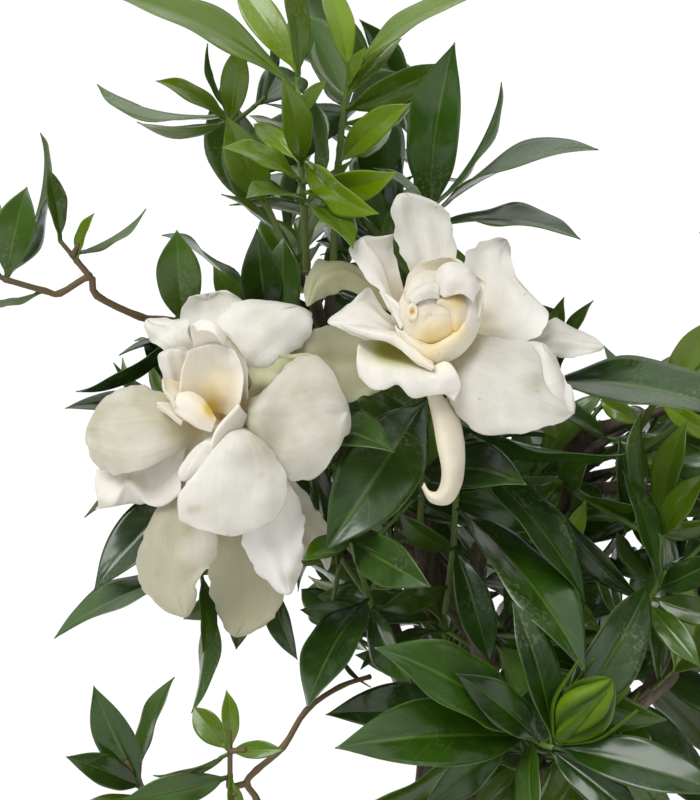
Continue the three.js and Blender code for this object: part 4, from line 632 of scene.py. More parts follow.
def leaf_at(tip):
    """The leaf whose blade ends at this corner, with the blade's corners, or None and no corners."""
    if len(tip.link_edges) != 4:
        return None, []
    ring = [e.other_vert(tip) for e in tip.link_edges]
    last = section_across(ring)
    beyond = {e.other_vert(v) for v in ring for e in v.link_edges} - set(ring) - {tip}
    if last is None or len(beyond) != 4:
        return None, []
    before = section_across(sorted(beyond, key=lambda v: v.index))
    if before is None:
        return None, []
    middle, normal, width = before
    kind, sections = ("near", NEAR_SECTIONS) if last[2] / width < NEAR_TAPER else ("far", FAR_SECTIONS)
    (low, low_share), (high, _) = sections
    run = last[0] - middle
    run = run - normal * run.dot(normal)
    chord = run / (high - low)
    leaf = dict(root=np.array(tip.co) - chord, chord=chord, normal=normal, width=width / low_share, kind=kind)
    return leaf, [tip, *ring, *beyond]


def read_shoot(node):
    """A shoot's leaves, and the points that its stem runs through."""
    mesh = merged(node)
    leaves, used = [], set()
    for tip in mesh.verts:
        leaf, corners = leaf_at(tip)
        if leaf:
            leaves.append(leaf)
            used.update(corners)
    roots = [leaf["root"] for leaf in leaves]
    clear_of = [(root, ROOT_CLEAR) for root in roots]
    clear_of += [(seen(bloom["heart"]), HEART_CLEAR) for name, bloom in BLOOMS.items()
                 if node == "shoot_" + name]
    spare = [np.array(v.co) for v in mesh.verts if v not in used]
    mesh.free()
    spare = [p for p in spare if all(np.linalg.norm(p - place) > gap for place, gap in clear_of)]
    return leaves, roots + ring_middles(spare)


def ring_middles(points):
    """The middles of the rings of corners round a stem."""
    middles = []
    left = list(points)
    while left:
        ring = [left.pop()]
        for member in ring:
            near = [p for p in left if np.linalg.norm(p - member) < RING_REACH]
            ring.extend(near)
            left = [p for p in left if not any(p is taken for taken in near)]
        if len(ring) >= 3:
            middles.append(np.mean(ring, axis=0))
    return middles


def stem_lines(points, foot):
    """Lines along the shortest tree that joins the points, the longest first, each from its lower end."""
    count = len(points)
    start = min(range(count), key=lambda i: np.linalg.norm(points[i] - foot))
    parent = {start: None}
    reach = {start: 0.0}
    best = {i: (np.linalg.norm(points[i] - points[start]), start) for i in range(count)}
    while len(parent) < count:
        i = min((k for k in range(count) if k not in parent), key=lambda k: best[k][0])
        parent[i] = best[i][1]
        reach[i] = reach[parent[i]] + best[i][0]
        for k in range(count):
            if k not in parent:
                best[k] = min(best[k], (np.linalg.norm(points[k] - points[i]), i))
    lines, drawn = [], set()
    for step in sorted(parent, key=lambda i: -reach[i]):
        line = []
        while step is not None and step not in drawn:
            line.append(step)
            drawn.add(step)
            step = parent[step]
        if step is not None and line:
            line.append(step)
        if len(line) > 1:
            lines.append([points[i] for i in reversed(line)])
    return lines


def leaf_sheet(leaf, rng):
    """The fine blade of one leaf, with its place across (-1 to 1) and along (0 to 1) at each point."""
    rows, columns = LEAF_GRIDS[leaf["kind"]]
    along = 1 - (1 - np.linspace(0, 1, rows)) ** 1.12
    u, t = np.meshgrid(np.linspace(-1, 1, columns), along)
    length = np.linalg.norm(leaf["chord"])
    side = np.cross(leaf["chord"] / length, leaf["normal"])
    half = np.maximum(smooth_steps(LEAF_OUTLINE, t) * leaf["width"] / 2, 0)
    half = np.where(t < 0.2, np.maximum(half, PETIOLE_RADIUS), half)
    lift = half * math.tan(BLADE_FOLD) * np.abs(u) ** 1.25
    # waves along the margin
    size = length / COMMON_LEAF
    phase = rng.uniform(0, 2 * math.pi)
    wave = np.sin(2 * math.pi * rng.uniform(1.6, 2.6) * t + phase + np.sign(u) * rng.uniform(0.4, 1.6))
    lift += wave * np.abs(u) ** 3 * np.sin(math.pi * t) * rng.uniform(0.5, 1.1) * MM * size
    # swellings between the side veins, and the sunk midrib
    vein = SIDE_VEINS * (t - VEIN_SLANT * np.abs(u))
    fade = np.clip(half / (4 * MM), 0, 1) * (1 - u * u) * np.clip(np.abs(u) * 6, 0, 1)
    lift += VEIN_RELIEF * np.abs(np.sin(math.pi * vein)) * fade * size
    lift -= MIDRIB_DEPTH * np.exp(-(u * half / (0.6 * MM)) ** 2) * np.clip(t * 5, 0, 1) * (1 - t)
    # the arch with its drooping tip, and a slight twist
    rise = BLADE_ARCH * length * 4 * t * (1 - t) - 0.9 * MM * size * np.clip((t - 0.8) / 0.2, 0, 1) ** 2
    twist = rng.uniform(-0.12, 0.12) * t
    middle = (leaf["root"] + leaf["chord"] * t[..., None] + side * (u * half)[..., None]
              + leaf["normal"] * (rise + lift + u * half * twist)[..., None])
    thickness = LEAF_THICKNESS * (0.55 + 0.45 * (1 - np.abs(u)) ** 0.5)
    thickness = np.where(t < 0.15, np.maximum(thickness, 1.1 * MM * (1 - np.abs(u) * 0.6)), thickness)
    return middle, thickness, u, t


def add_leaf(piece, leaf, young, rng):
    """Adds a fine leaf, toned by a random draw, by how young it is, and by 1 on its underside."""
    middle, thickness, u, t = leaf_sheet(leaf, rng)
    piece.add(*sheet(middle, thickness), both_sides(u * 0.5 + 0.5, t),
              (rng.random(), young, np.repeat((0, 1), u.size), 1))


def add_stem(piece, line, woody, thin=1.0):
    """Adds a stem with a knot at each point of its line, brown where it is woody."""
    curve = curve_through(line, STEM_STEPS)
    share = np.linspace(0, 1, len(curve))
    radii = (STEM_RADIUS + (STEM_TIP_RADIUS - STEM_RADIUS) * share) * thin
    radii[::STEM_STEPS] *= KNOT
    points, faces = tube(curve, radii)
    sides = len(points) // len(curve)
    green = np.repeat(0.1 + 0.2 * share if woody else 0.6 + 0.4 * share, sides)
    uvs = np.stack([np.tile(np.arange(sides) / sides, len(curve)), np.repeat(share, sides)], -1)
    piece.add(points, faces, uvs, (green, 0, 0, 1), 1)


def add_calyx(piece, line_end, heart):
    """Adds the green cup behind a bloom."""
    reach = np.linalg.norm(heart - line_end) - HEART_RADIUS * 0.85
    places, radii = np.array(CALYX_SECTIONS).T
    line = line_end + np.outer(places * reach, unit(heart - line_end))
    piece.add(*tube(line, radii * MM, CALYX_SIDES), tones=(0.9, 0, 0, 1), kind=1)


def make_shoot(node, shoot, materials, rng):
    """Draws a shoot: its leaves, its stems, its inner shoots, and the calyx of a bloom that it bears."""
    piece = Gathered()
    longest = max(np.linalg.norm(leaf["chord"]) for leaf in shoot["leaves"])
    for leaf in shoot["leaves"]:
        length = np.linalg.norm(leaf["chord"])
        young = min(1.0, max(0.0, 1.1 - length / YOUNG_LEAF) * 0.7 + YOUNG_SHOOTS.get(node, 0))
        young *= (0.3 + 0.9 * rng.random()) if length < 0.75 * longest else 0.1 + 0.75 * rng.random()
        add_leaf(piece, leaf, young, rng)
    if node == CROSSED_SHOOT:
        crossed = dict(root=CROSSED_ROOT, chord=CROSSED_TIP - CROSSED_ROOT, normal=unit(CROSSED_NORMAL),
                       width=CROSSED_WIDTH, kind="far")
        add_leaf(piece, crossed, 0.1, random.Random(1))
    for i, line in enumerate(shoot["lines"]):
        add_stem(piece, line, node in WOODY_SHOOTS, 1.0 if i == 0 else SIDE_STEM)
    for branch in shoot["inner"]:
        add_stem(piece, branch["line"], False, INNER_STEM)
        for leaf in branch["leaves"]:
            add_leaf(piece, leaf, 0.4 * rng.random() ** 2, rng)
    for name, bloom in BLOOMS.items():
        if node == "shoot_" + name:
            heart = seen(bloom["heart"])
            add_calyx(piece, min(shoot["points"], key=lambda p: np.linalg.norm(p - heart)), heart)
    return piece.make("leaves_" + node, materials, node)


def read_all_shoots():
    """Every shoot's leaves, in a settled order, with the points and lines of its stem."""
    shoots = {}
    for node in sorted(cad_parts):
        if "shoot" not in node:
            continue
        leaves, points = read_shoot(node)
        if not leaves:
            raise RuntimeError(f"no leaf was found in {node}")
        leaves.sort(key=lambda leaf: tuple(np.round(leaf["root"], 6)) + tuple(np.round(leaf["chord"], 6)))
        lines = stem_lines(points, nearest_wood(points))
        lines[0] = [lines[0][0] - unit(lines[0][1] - lines[0][0]) * FOOT_DEPTH, *lines[0]]
        shoots[node] = dict(leaves=leaves, points=points, lines=lines, inner=[])
    return shoots


# Inner shoots

def leaf_samples(leaf, along=12, across=5):
    """Points spread over a blade, in rows from its root to its tip."""
    t = np.repeat(np.linspace(0.1, 0.97, along), across)
    u = np.tile(np.linspace(-1, 1, across), along)
    length = np.linalg.norm(leaf["chord"])
    side = np.cross(leaf["chord"] / length, leaf["normal"])
    half = smooth_steps(LEAF_OUTLINE, t) * u * leaf["width"] / 2
    rise = BLADE_ARCH * length * 4 * t * (1 - t)
    return leaf["root"] + np.outer(t, leaf["chord"]) + np.outer(half, side) + np.outer(rise, leaf["normal"])


def closely_sampled(leaves):
    """Points spread closely over many blades."""
    return np.concatenate([leaf_samples(leaf, 24, 9) for leaf in leaves])


def in_view(points):
    """Where points are seen on the drawn plane, right, up and forward of it, in millimetres."""
    away = points - VIEW_MIDDLE
    forward = away @ FORWARD
    nearer = 1 - forward / VIEW_DISTANCE
    return np.stack([away @ RIGHT / nearer, away @ UP / nearer, forward / MM], -1) / (MM, MM, 1)


class Crown:
    """What fills the crown, in cells of space, and what the drawn view shows, in cells of that view."""

    def __init__(self, drawn, others, bark):
        self.low = np.array(CAD_BOX[0]) + MM
        self.high = np.array(CAD_BOX[1]) - MM
        self.taken = np.zeros(((self.high - self.low) / SPACE_CELL).astype(int) + 3, bool)
        rows, columns = int(2 * VIEW_HALF_WIDTH / VIEW_CELL), int(2 * VIEW_HALF_HEIGHT / VIEW_CELL)
        right = (np.arange(rows) + 0.5)[:, None] * VIEW_CELL - VIEW_HALF_WIDTH
        up = (np.arange(columns) + 0.5) * VIEW_CELL - VIEW_HALF_HEIGHT
        self.dense = np.any([np.hypot(right - x, up - y) < radius for x, y, radius in FOLIAGE_ROUNDS], axis=0)
        self.front = self.depths(drawn)
        self.wood = self.depths(bark)
        self.covered = np.zeros(self.dense.shape, bool)
        for points in (drawn, others):
            i, j, forward = self.view_cells(points)
            ahead = forward > self.wood[i, j]
            self.covered[i[ahead], j[ahead]] = True
        for points in (drawn, others, bark):
            self.fill(points)

    def view_cells(self, points):
        """The cells of the drawn view that points fall in, and how far forward they lie."""
        places = in_view(points)
        inside = (np.abs(places[:, 0]) < VIEW_HALF_WIDTH) & (np.abs(places[:, 1]) < VIEW_HALF_HEIGHT)
        places = places[inside]
        return (((places[:, 0] + VIEW_HALF_WIDTH) / VIEW_CELL).astype(int),
                ((places[:, 1] + VIEW_HALF_HEIGHT) / VIEW_CELL).astype(int), places[:, 2])

    def beside(self, i, j, step):
        """The cells one step from others, kept inside the view."""
        return np.clip(i + step[0], 0, len(self.dense) - 1), np.clip(j + step[1], 0, self.dense.shape[1] - 1)

    def depths(self, points):
        """How far forward points lie in each cell of the view, and in the cells beside theirs."""
        layer = np.full(self.dense.shape, -np.inf)
        i, j, forward = self.view_cells(points)
        for step in NEIGHBOURS:
            np.maximum.at(layer, self.beside(i, j, step), forward)
        return layer

    def fill(self, points):
        """Marks the cells of space round points as taken."""
        cells = ((points - self.low) / SPACE_CELL).astype(int)
        for shift in np.ndindex(3, 3, 3):
            x, y, z = np.clip(cells + np.array(shift) - 1, 0, np.array(self.taken.shape) - 1).T
            self.taken[x, y, z] = True

    def has_room(self, points):
        """Whether a leaf with these points fits in the crown and shows only where it may."""
        if (points < self.low).any() or (points > self.high).any() or points[:, 2].min() < LOWEST_LEAF:
            return False
        x, y, z = ((points - self.low) / SPACE_CELL).astype(int).T
        return not self.taken[x, y, z].any() and self.is_hidden(points)

    def is_hidden(self, points):
        """Whether points keep out of the open air of the drawn view, and behind what it shows."""
        i, j, forward = self.view_cells(points)
        front = self.front[i, j]
        return bool(self.dense[i, j].all() and ((front == -np.inf) | (forward < front - 1)).all())

    def newly_covered(self, leaves):
        """The cells of the view, as pairs, that leaves would cover for the first time."""
        i, j, forward = self.view_cells(closely_sampled(leaves))
        fresh = self.dense[i, j] & ~self.covered[i, j] & (forward > self.wood[i, j])
        return set(zip(i[fresh].tolist(), j[fresh].tolist()))

    def take(self, branch, cells):
        """Marks what a branch fills, and the cells of the view that it covers."""
        self.fill(closely_sampled(branch["leaves"]))
        for cell in cells:
            self.covered[cell] = True


def branch_from(start, heading, rng):
    """A short inner shoot: its curved stem and the leaves that could grow on it, in pairs."""
    reach = rng.uniform(*INNER_REACH)
    rise = np.array((0, 0, 1)) * reach * 0.1
    line = [start + heading * reach * k / 4 + rise * (k / 4) ** 2 for k in range(5)]
    across = unit(np.cross(heading, (0.3, 0.2, 1)))
    other = np.cross(heading, across)
    leaves = []
    turn = rng.uniform(0, math.pi)
    for k in PAIRED_AT:
        turn += math.pi / 2
        for half_turn in (0, math.pi):
            aside = across * math.cos(turn + half_turn) + other * math.sin(turn + half_turn)
            lean = math.radians(rng.uniform(38, 68)) * (1.15 - 0.1 * k)
            direction = unit(heading * math.cos(lean) + aside * math.sin(lean) + np.array((0, 0, 0.1)))
            normal = heading - direction * heading.dot(direction) + np.array((0, -0.25, 0.4))
            normal = unit(normal - direction * normal.dot(direction))
            length = rng.uniform(*INNER_LEAF)
            leaves.append(dict(root=line[k] - direction * 0.6 * MM, chord=direction * length, normal=normal,
                               width=length * rng.uniform(0.3, 0.37), kind="inner"))
    return line, leaves


def settled_branch(line, leaves, crown):
    """The branch with the leaves that have room, or None where fewer than two have."""
    if not crown.is_hidden(np.array(line[1:])):
        return None
    kept, taken = [], []
    for leaf in leaves:
        for share in SHORTER:
            shorter = leaf | dict(chord=leaf["chord"] * share, width=leaf["width"] * share)
            samples = leaf_samples(shorter)[10:]
            if crown.has_room(samples) and all(
                    np.linalg.norm(samples[::2, None] - other[None, ::2], axis=2).min() > CLOSEST_LEAVES
                    for other in taken):
                kept.append(shorter)
                taken.append(samples)
                break
    if len(kept) < 2:
        return None
    last = max(k for k in range(5) for leaf in kept if np.linalg.norm(line[k] - leaf["root"]) < MM)
    return dict(line=line[:last + 1], leaves=kept)


def branch_starts(shoots, wood, bark_normals):
    """Where an inner shoot may start: its shoot, the place, and which way the stem or bark faces."""
    starts = []
    owners = [(node, point) for node, shoot in shoots.items() for point in shoot["points"]]
    places = np.array([point for _, point in owners])
    for node, shoot in shoots.items():
        for line in shoot["lines"]:
            for i in range(1, len(line)):
                ahead = unit(line[min(i + 1, len(line) - 1)] - line[i - 1])
                starts.append((node, line[i], ahead))
    for point, normal in zip(wood, bark_normals):
        if point[2] > LOWEST_START:
            node = owners[int(np.linalg.norm(places - point, axis=1).argmin())][0]
            starts.append((node, point - normal * MM, unit(normal + np.array((0, 0, 0.5)))))
    return starts


def leaning(ahead, rng):
    """A direction that leans away from ahead."""
    aside = unit(np.cross(ahead, np.array([rng.uniform(-1, 1) for _ in range(3)])))
    lean = math.radians(rng.uniform(15, 75))
    return unit(ahead * math.cos(lean) + aside * math.sin(lean))


def grow_inner_shoots(shoots, bark, bark_normals, rng):
    """Fills the crown with short leafy side shoots."""
    petals = [petal_grid(row, seen(bloom["heart"]), PETAL_SEED_STEP * i)[0][::2, ::2].reshape(-1, 3)
              for bloom in BLOOMS.values() for i, row in enumerate(bloom["petals"])]
    drawn, others = ([leaf for node, shoot in shoots.items() for leaf in shoot["leaves"]
                      if node.startswith("leafy") is unseen] for unseen in (False, True))
    crown = Crown(np.concatenate([*petals, closely_sampled(drawn)]), closely_sampled(others), bark)
    starts = branch_starts(shoots, bark[::8], bark_normals[::8])
    places = in_view(np.array([start for _, start, _ in starts]))
    cover_view(shoots, starts, places, crown, rng)
    fill_round(shoots, starts, crown, rng)


def cover_view(shoots, starts, places, crown, rng):
    """Grows branches towards places of the dense view where wood or open air still shows."""
    for _ in range(VIEW_TRIES):
        i, j = rng.choice(np.argwhere(crown.dense & ~crown.covered))
        right = (i + 0.5) * VIEW_CELL - VIEW_HALF_WIDTH
        up = (j + 0.5) * VIEW_CELL - VIEW_HALF_HEIGHT
        near = np.flatnonzero(np.hypot(places[:, 0] - right, places[:, 1] - up) < VIEW_REACH)
        if not len(near):
            continue
        k = rng.choice(near)
        node, start, _ = starts[k]
        heading = unit(seen((right, up, places[k, 2] + rng.uniform(-12, 25))) - start)
        branch = settled_branch(*branch_from(start, heading, rng), crown)
        if branch:
            cells = crown.newly_covered(branch["leaves"])
            if len(cells) >= LEAST_COVERED:
                crown.take(branch, cells)
                shoots[node]["inner"].append(branch)


def fill_round(shoots, starts, crown, rng):
    """Grows branches all round the crown, away from the drawn view and apart from each other."""
    grown = []
    count = sum(len(branch["leaves"]) for shoot in shoots.values() for branch in shoot["inner"])
    for node, start, ahead in rng.sample(starts, min(ROUND_TRIES, len(starts))):
        if count > MOST_INNER_LEAVES or any(np.linalg.norm(start - foot) < ROUND_SPACING for foot in grown):
            continue
        heading = leaning(ahead, rng)
        heading = heading - FORWARD * 1.6 * max(0, heading @ FORWARD)
        branch = settled_branch(*branch_from(start, unit(heading), rng), crown)
        if branch:
            crown.take(branch, ())
            shoots[node]["inner"].append(branch)
            grown.append(start)
            count += len(branch["leaves"])


def bark_samples():
    """Points over the bark of the wood, and which way the bark faces at each."""
    wood = bpy.data.objects["trunk_limbs_and_twigs"].data
    return np.array([v.co for v in wood.vertices]), np.array([v.normal for v in wood.vertices])


def nearest_wood(points):
    """The point of a shoot that lies nearest to the wood: its foot."""
    wood = np.array([v.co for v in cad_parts["wood"].data.vertices])
    gaps = [np.linalg.norm(wood - p, axis=1).min() for p in points]
    return points[int(np.argmin(gaps))]


# Petals

def petal_outline(row, heart):
    """A petal's outline from its base round to its base again, and the way it faces."""
    rim = [seen(place) for place in row["edge"]]
    aside = unit(rim[6] - rim[0]) * PETAL_BASE_WIDTH / 2
    to_tip = unit(rim[3] - heart) * HEART_RADIUS / 2
    base = heart + to_tip
    facing = unit(np.cross(aside, to_tip))
    if facing.dot(FORWARD) < 0:
        facing = -facing
    return [base - aside, *rim, base + aside], facing


def past_start(place, start):
    """How far a place lies past where a roll starts, squared, with 1 at the rim."""
    return np.maximum(0, (place - start) / (1 - start)) ** 2


def uneven(points, size, seed):
    """Smooth noise at each point of a grid, on bumps of about this size."""
    flat = points.reshape(-1, 3) / size + np.array((seed, -seed, 0.5 * seed))
    return np.array([noise.noise(Vector(p)) for p in flat]).reshape(points.shape[:2])


def petal_grid(row, heart, seed):
    """The middle sheet of a petal, with its place across and along and its nearness to the rim."""
    outline, facing = petal_outline(row, heart)
    v_line = 1 - (1 - np.linspace(0, 0.996, PETAL_ROWS)) ** 1.15
    u_line = np.sin(np.linspace(-0.5, 0.5, PETAL_COLUMNS) * math.pi * 0.92)
    u, v = np.meshgrid(u_line / u_line[-1], v_line)
    # the sheet spans the two halves of the outline, which meet at the tip
    half = (len(outline) - 1) / 2
    first, second = (np.array([on_curve(outline, place) for place in places])
                     for places in (half * v_line, 2 * half - half * v_line))
    middle = first[:, None] + (second - first)[:, None] * ((u + 1) / 2)[..., None]
    # it swells forward in its middle and rolls back along its rim
    left, right = np.array(row["swell"]) * MM
    bulge = (left * (1 - u) + right * (1 + u)) / 2 * (1 - u * u) * np.sin(math.pi * v ** 0.8)
    roll = 0.42 * row["roll"] * MM
    rim = past_start(np.abs(u), SIDE_ROLL_START) * np.minimum(1, 2 * v) + past_start(v, TIP_ROLL_START)
    # waves and notches stand along the rim, and pleats, creases and crinkles all over
    near_rim = np.maximum(np.abs(u) ** 3 * np.minimum(1, 2.5 * v), v ** 5)
    width = np.linalg.norm(second - first, axis=1, keepdims=True)
    calm = np.clip(width / CALM_WIDTH, 0, 1)
    size = min(1.0, np.linalg.norm(outline[4] - heart) / (38 * MM))
    wave = near_rim * np.sin(2 * math.pi * (1.9 * v + 0.3 * np.sign(u) + 0.8 * u * v) + seed)
    pleats = np.sin(2 * math.pi * 1.4 * u * (1 - 0.25 * v) + 2 * seed) * (1 - u * u) * np.sin(math.pi * v)
    creases = uneven(middle, CREASE_SIZE, seed) * (0.7 + 1.0 * near_rim)
    crinkle = uneven(middle, CRINKLE_SIZE, seed) * (0.12 + 0.4 * near_rim)
    lift = (WAVE_HEIGHT * wave + PLEAT_HEIGHT * pleats + CRINKLE_HEIGHT * crinkle) * calm
    lift = (lift + CREASE_HEIGHT * creases) * size * np.minimum(1, 3 * v)
    middle = middle + facing * (bulge - roll * rim + lift * MM)[..., None]
    notch = uneven(middle, NOTCH_SIZE, seed + 5) * near_rim * NOTCH_DEPTH * MM * size * calm
    sideways = (second - first) / np.maximum(width, 1e-9)
    return middle + sideways[:, None] * (notch * np.sign(u))[..., None], u, v, near_rim


def fold_grid(fold, seed):
    """The middle sheet of a folded inner petal, smooth both ways through its rows of places."""
    rows = fold.get("rows") or ring_rows(fold)
    lines = [curve_through([seen(place) for place in row], FOLD_STEPS) for row in rows]
    middle = np.stack([curve_through(column, FOLD_STEPS) for column in zip(*lines)], axis=1)
    u, s = np.meshgrid(np.linspace(0, 1, middle.shape[1]), np.linspace(0, 1, middle.shape[0]))
    ruffle = (fold.get("ruffle", 0.8) * uneven(middle, RUFFLE_SIZE, seed)
              + 0.25 * uneven(middle, FINE_RUFFLE_SIZE, seed))
    if np.allclose(middle[:, 0], middle[:, -1]):
        ruffle[:, -1] = ruffle[:, 0]
    return middle + (FORWARD + 0.4 * UP) * (MM * ruffle * s)[..., None], u, s


def ring_rows(fold):
    """Rows of places round the middle of a dome or a tube."""
    right, up = fold["round"]
    turns = np.radians(np.arange(0, 361, 30))
    return [[(right + radius * math.cos(turn), up + fold["tall"] * radius * math.sin(turn), forward)
             for turn in turns] for radius, forward in fold["rings"]]


def glow(points, spots):
    """How strongly spots of colour show at points, each given as right, up, radius and strength."""
    places = in_view(points)
    strength = np.zeros(len(points))
    for right, up, radius, amount in spots:
        strength += amount * np.exp(-((places[:, 0] - right) ** 2 + (places[:, 1] - up) ** 2) / radius ** 2)
    return strength


def make_bloom(name, materials):
    """Draws a bloom: its outer petals, the folds round its heart, and the heart."""
    bloom = BLOOMS[name]
    heart = seen(bloom["heart"])
    piece = Gathered()
    for i, row in enumerate(bloom["petals"]):
        middle, u, v, near_rim = petal_grid(row, heart, PETAL_SEED_STEP * i)
        points, faces = sheet(middle, PETAL_THICKNESS * (1 - 0.6 * near_rim))
        distance = np.linalg.norm(points - heart, axis=1)
        warm = np.clip(1 - (distance - PETAL_GLOW[0]) / PETAL_GLOW[1], 0, 1) ** 1.5 + row.get("warm", 0)
        # painted shade of the petal and the painted shadows on it; below 0 these are painted light
        shade = row.get("shade", COMMON_SHADE) + glow(points, bloom["shadows"])
        unmarked = 1 - np.minimum(1, glow(points, bloom["marks"]))
        piece.add(points, faces, both_sides(u * 0.5 + 0.5, v), (warm, row.get("green", 0), shade, unmarked))
    for i, fold in enumerate(bloom["folds"]):
        middle, u, s = fold_grid(fold, FOLD_SEED_STEP * i)
        points, faces = sheet(middle, PETAL_THICKNESS * (1 - 0.4 * s))
        depth = 1 - np.tile(s.ravel(), 2)
        warm = fold.get("warm", 0) + glow(points, bloom["glows"]) + 0.25 * depth
        # olive painted shade in the hollow under a curled lip
        green = glow(points, bloom["hollow_shadows"]) * fold.get("hollow", 0)
        # deep in a fold the painted shade gives way to painted light, standing in for light through the
        # petals
        shade = fold.get("shade", 0.1) - 0.2 * depth
        unmarked = 1 - np.minimum(1, glow(points, bloom["marks"]))
        piece.add(points, faces, both_sides(u, s), (warm, green, shade, unmarked))
    add_heart(piece, heart)
    return piece.make("petals_" + name, materials, name)


def add_heart(piece, heart):
    """The round heart that the petals grow from."""
    ball = bmesh.new()
    bmesh.ops.create_icosphere(ball, subdivisions=3, radius=HEART_RADIUS * 0.8)
    points = np.array([v.co for v in ball.verts]) + heart
    faces = [[v.index for v in face.verts] for face in ball.faces]
    ball.free()
    # cream going to gold, in half painted shade
    piece.add(points, faces, tones=(1.2, 0, 0.5, 1))


# Flower bud

def make_bud(materials):
    """Draws the bud, twisted in ridges along its folded petals, with its sepals."""
    before, end = (seen(place) for place in BUD_STEM)
    ahead = unit(end - before)
    across = unit(np.array((0, 1, 0)) - ahead * ahead[1])
    other = np.cross(ahead, across)
    along = np.linspace(0, 1, BUD_ROWS)
    radius = smooth_steps(BUD_SECTIONS, along) * MM
    turn = np.linspace(0, 2 * math.pi, BUD_SIDES, endpoint=False)
    ridge = np.abs(np.cos(BUD_LOBES * turn / 2))
    swell = radius[:, None] * (0.84 + 0.26 * ridge[None])
    place = turn[None] + BUD_TWIST * along[:, None]
    points = (end + ahead * (along * BUD_LENGTH)[:, None])[:, None] + (
        across * (swell * np.cos(place))[..., None] + other * (swell * np.sin(place))[..., None])
    height = np.repeat(along, BUD_SIDES)
    uvs = np.stack([np.tile(turn / (2 * math.pi), BUD_ROWS), height], -1)
    piece = Gathered()
    piece.add(points.reshape(-1, 3), closed_rings(BUD_ROWS, BUD_SIDES), uvs,
              (np.tile(ridge, BUD_ROWS), height, 1, 1))
    for i in range(BUD_LOBES):
        add_sepal(piece, end, ahead, across, other, 2 * math.pi * (i + 0.3) / BUD_LOBES)
    return piece.make("bud_petals_and_sepals", materials, "flower_bud")


def add_sepal(piece, base, ahead, across, other, turn):
    """Adds a narrow pointed sepal that hugs the bud and then leans out beside it."""
    outward = across * math.cos(turn) + other * math.sin(turn)
    u, t = np.meshgrid(np.linspace(-1, 1, 7), np.linspace(0, 1, 20))
    run = SEPAL_LENGTH * t
    girth = np.maximum.accumulate(smooth_steps(BUD_SECTIONS, np.minimum(1, run / BUD_LENGTH)), axis=0) * MM
    half = SEPAL_HALF_WIDTH * (1 - t) ** 0.75 + 0.1 * MM
    outside = 1.1 * girth + SEPAL_SLACK * run - 0.5 * MM * u * u
    middle = (base + ahead * run[..., None] + outward * outside[..., None]
              + np.cross(ahead, outward) * (u * half)[..., None])
    piece.add(*sheet(middle, np.full(u.shape, SEPAL_THICKNESS)), both_sides(u * 0.5 + 0.5, t),
              (0.5, np.tile(t.ravel(), 2), 1, 1))


# Wood

def make_wood(material):
    """The trunk, limbs and twigs, rounded and given the unevenness of bark."""
    wood = add_object("trunk_limbs_and_twigs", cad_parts["wood"].data.copy())
    shape = merged("wood")
    bmesh.ops.join_triangles(shape, faces=shape.faces, angle_face_threshold=math.radians(30),
                             angle_shape_threshold=math.radians(70))
    shape.to_mesh(wood.data)
    shape.free()
    rounded = wood.modifiers.new("Rounded", "SUBSURF")
    rounded.levels = rounded.render_levels = 2
    wood.data = applied(wood)
    shape = bmesh.new()
    shape.from_mesh(wood.data)
    shape.normal_update()
    for v in shape.verts:
        along = Vector((v.co.x, v.co.y, v.co.z * 0.3))
        rough = 0.32 * noise.noise(v.co / LUMP_SIZE) + 0.24 * noise.noise(along / CRACK_SIZE)
        v.co += v.normal * (0.22 + rough) * MM
    shape.to_mesh(wood.data)
    shape.free()
    wood.data.polygons.foreach_set("use_smooth", [True] * len(wood.data.polygons))
    wood.data.materials.clear()
    wood.data.materials.append(material)
    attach(wood, "root")
    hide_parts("wood")


def applied(piece):
    """A piece's mesh with its modifiers applied, which are then removed."""
    graph = bpy.context.evaluated_depsgraph_get()
    mesh = bpy.data.meshes.new_from_object(piece.evaluated_get(graph))
    piece.modifiers.clear()
    return mesh


# Pot and soil

def lathe(profile, sides):
    """A closed shape turned round the Z axis from a profile that starts and ends on the axis."""
    turns = np.arange(sides) * 2 * math.pi / sides
    points = [(0, 0, profile[0][1])]
    points += [(radius * math.cos(turn), radius * math.sin(turn), height)
               for radius, height in profile[1:-1] for turn in turns]
    points.append((0, 0, profile[-1][1]))
    rings = len(profile) - 2
    last, top = len(points) - 1, 1 + (rings - 1) * sides
    faces = [(0, 1 + (k + 1) % sides, 1 + k) for k in range(sides)]
    faces += ring_faces(rings, sides, 1)
    faces += [(last, top + k, top + (k + 1) % sides) for k in range(sides)]
    return np.array(points), faces


def rounded_profile(corners, steps):
    """A profile with rounded corners, each given as (radius from the axis, height, rounding)."""
    profile = []
    for i, (*here, rounding) in enumerate(corners):
        here = np.array(here)
        if rounding == 0:
            profile.append(tuple(here))
            continue
        start, end = (here + unit(np.array(corners[k][:2]) - here) * rounding for k in (i - 1, i + 1))
        for t in np.arange(steps + 1) / steps:
            profile.append(tuple((1 - t) ** 2 * start + 2 * t * (1 - t) * here + t * t * end))
    return profile


# Materials

def new_material(name):
    """A material, its empty node tree, and the link to places on the piece, in metres."""
    material = bpy.data.materials.new(name)
    material.use_nodes = True
    tree = material.node_tree
    tree.nodes.clear()
    return material, tree, (add_node(tree, "TexCoord"), "Object")


def painted_tones(tree):
    """The links to the red, green, blue and alpha of a piece's tones."""
    tone = add_node(tree, "VertexColor", layer_name="tone")
    parts = add_node(tree, "SeparateColor", links={0: tone})
    return (parts, 0), (parts, 1), (parts, 2), (tone, "Alpha")


def layered(tree, ground, *layers):
    """The link to a ground colour with layers over it.

    A layer is its colour, the source of its share, and the range that makes the share of the source.
    """
    values, below = {MIX_A: ground}, {}
    for colour, source, span in layers:
        share = add_node(tree, "MapRange", span, {0: source})
        mixed = add_node(tree, "Mix", values | {MIX_B: colour}, below | {0: share}, data_type="RGBA")
        values, below = {}, {MIX_A: (mixed, MIX_RESULT)}
    return mixed, MIX_RESULT


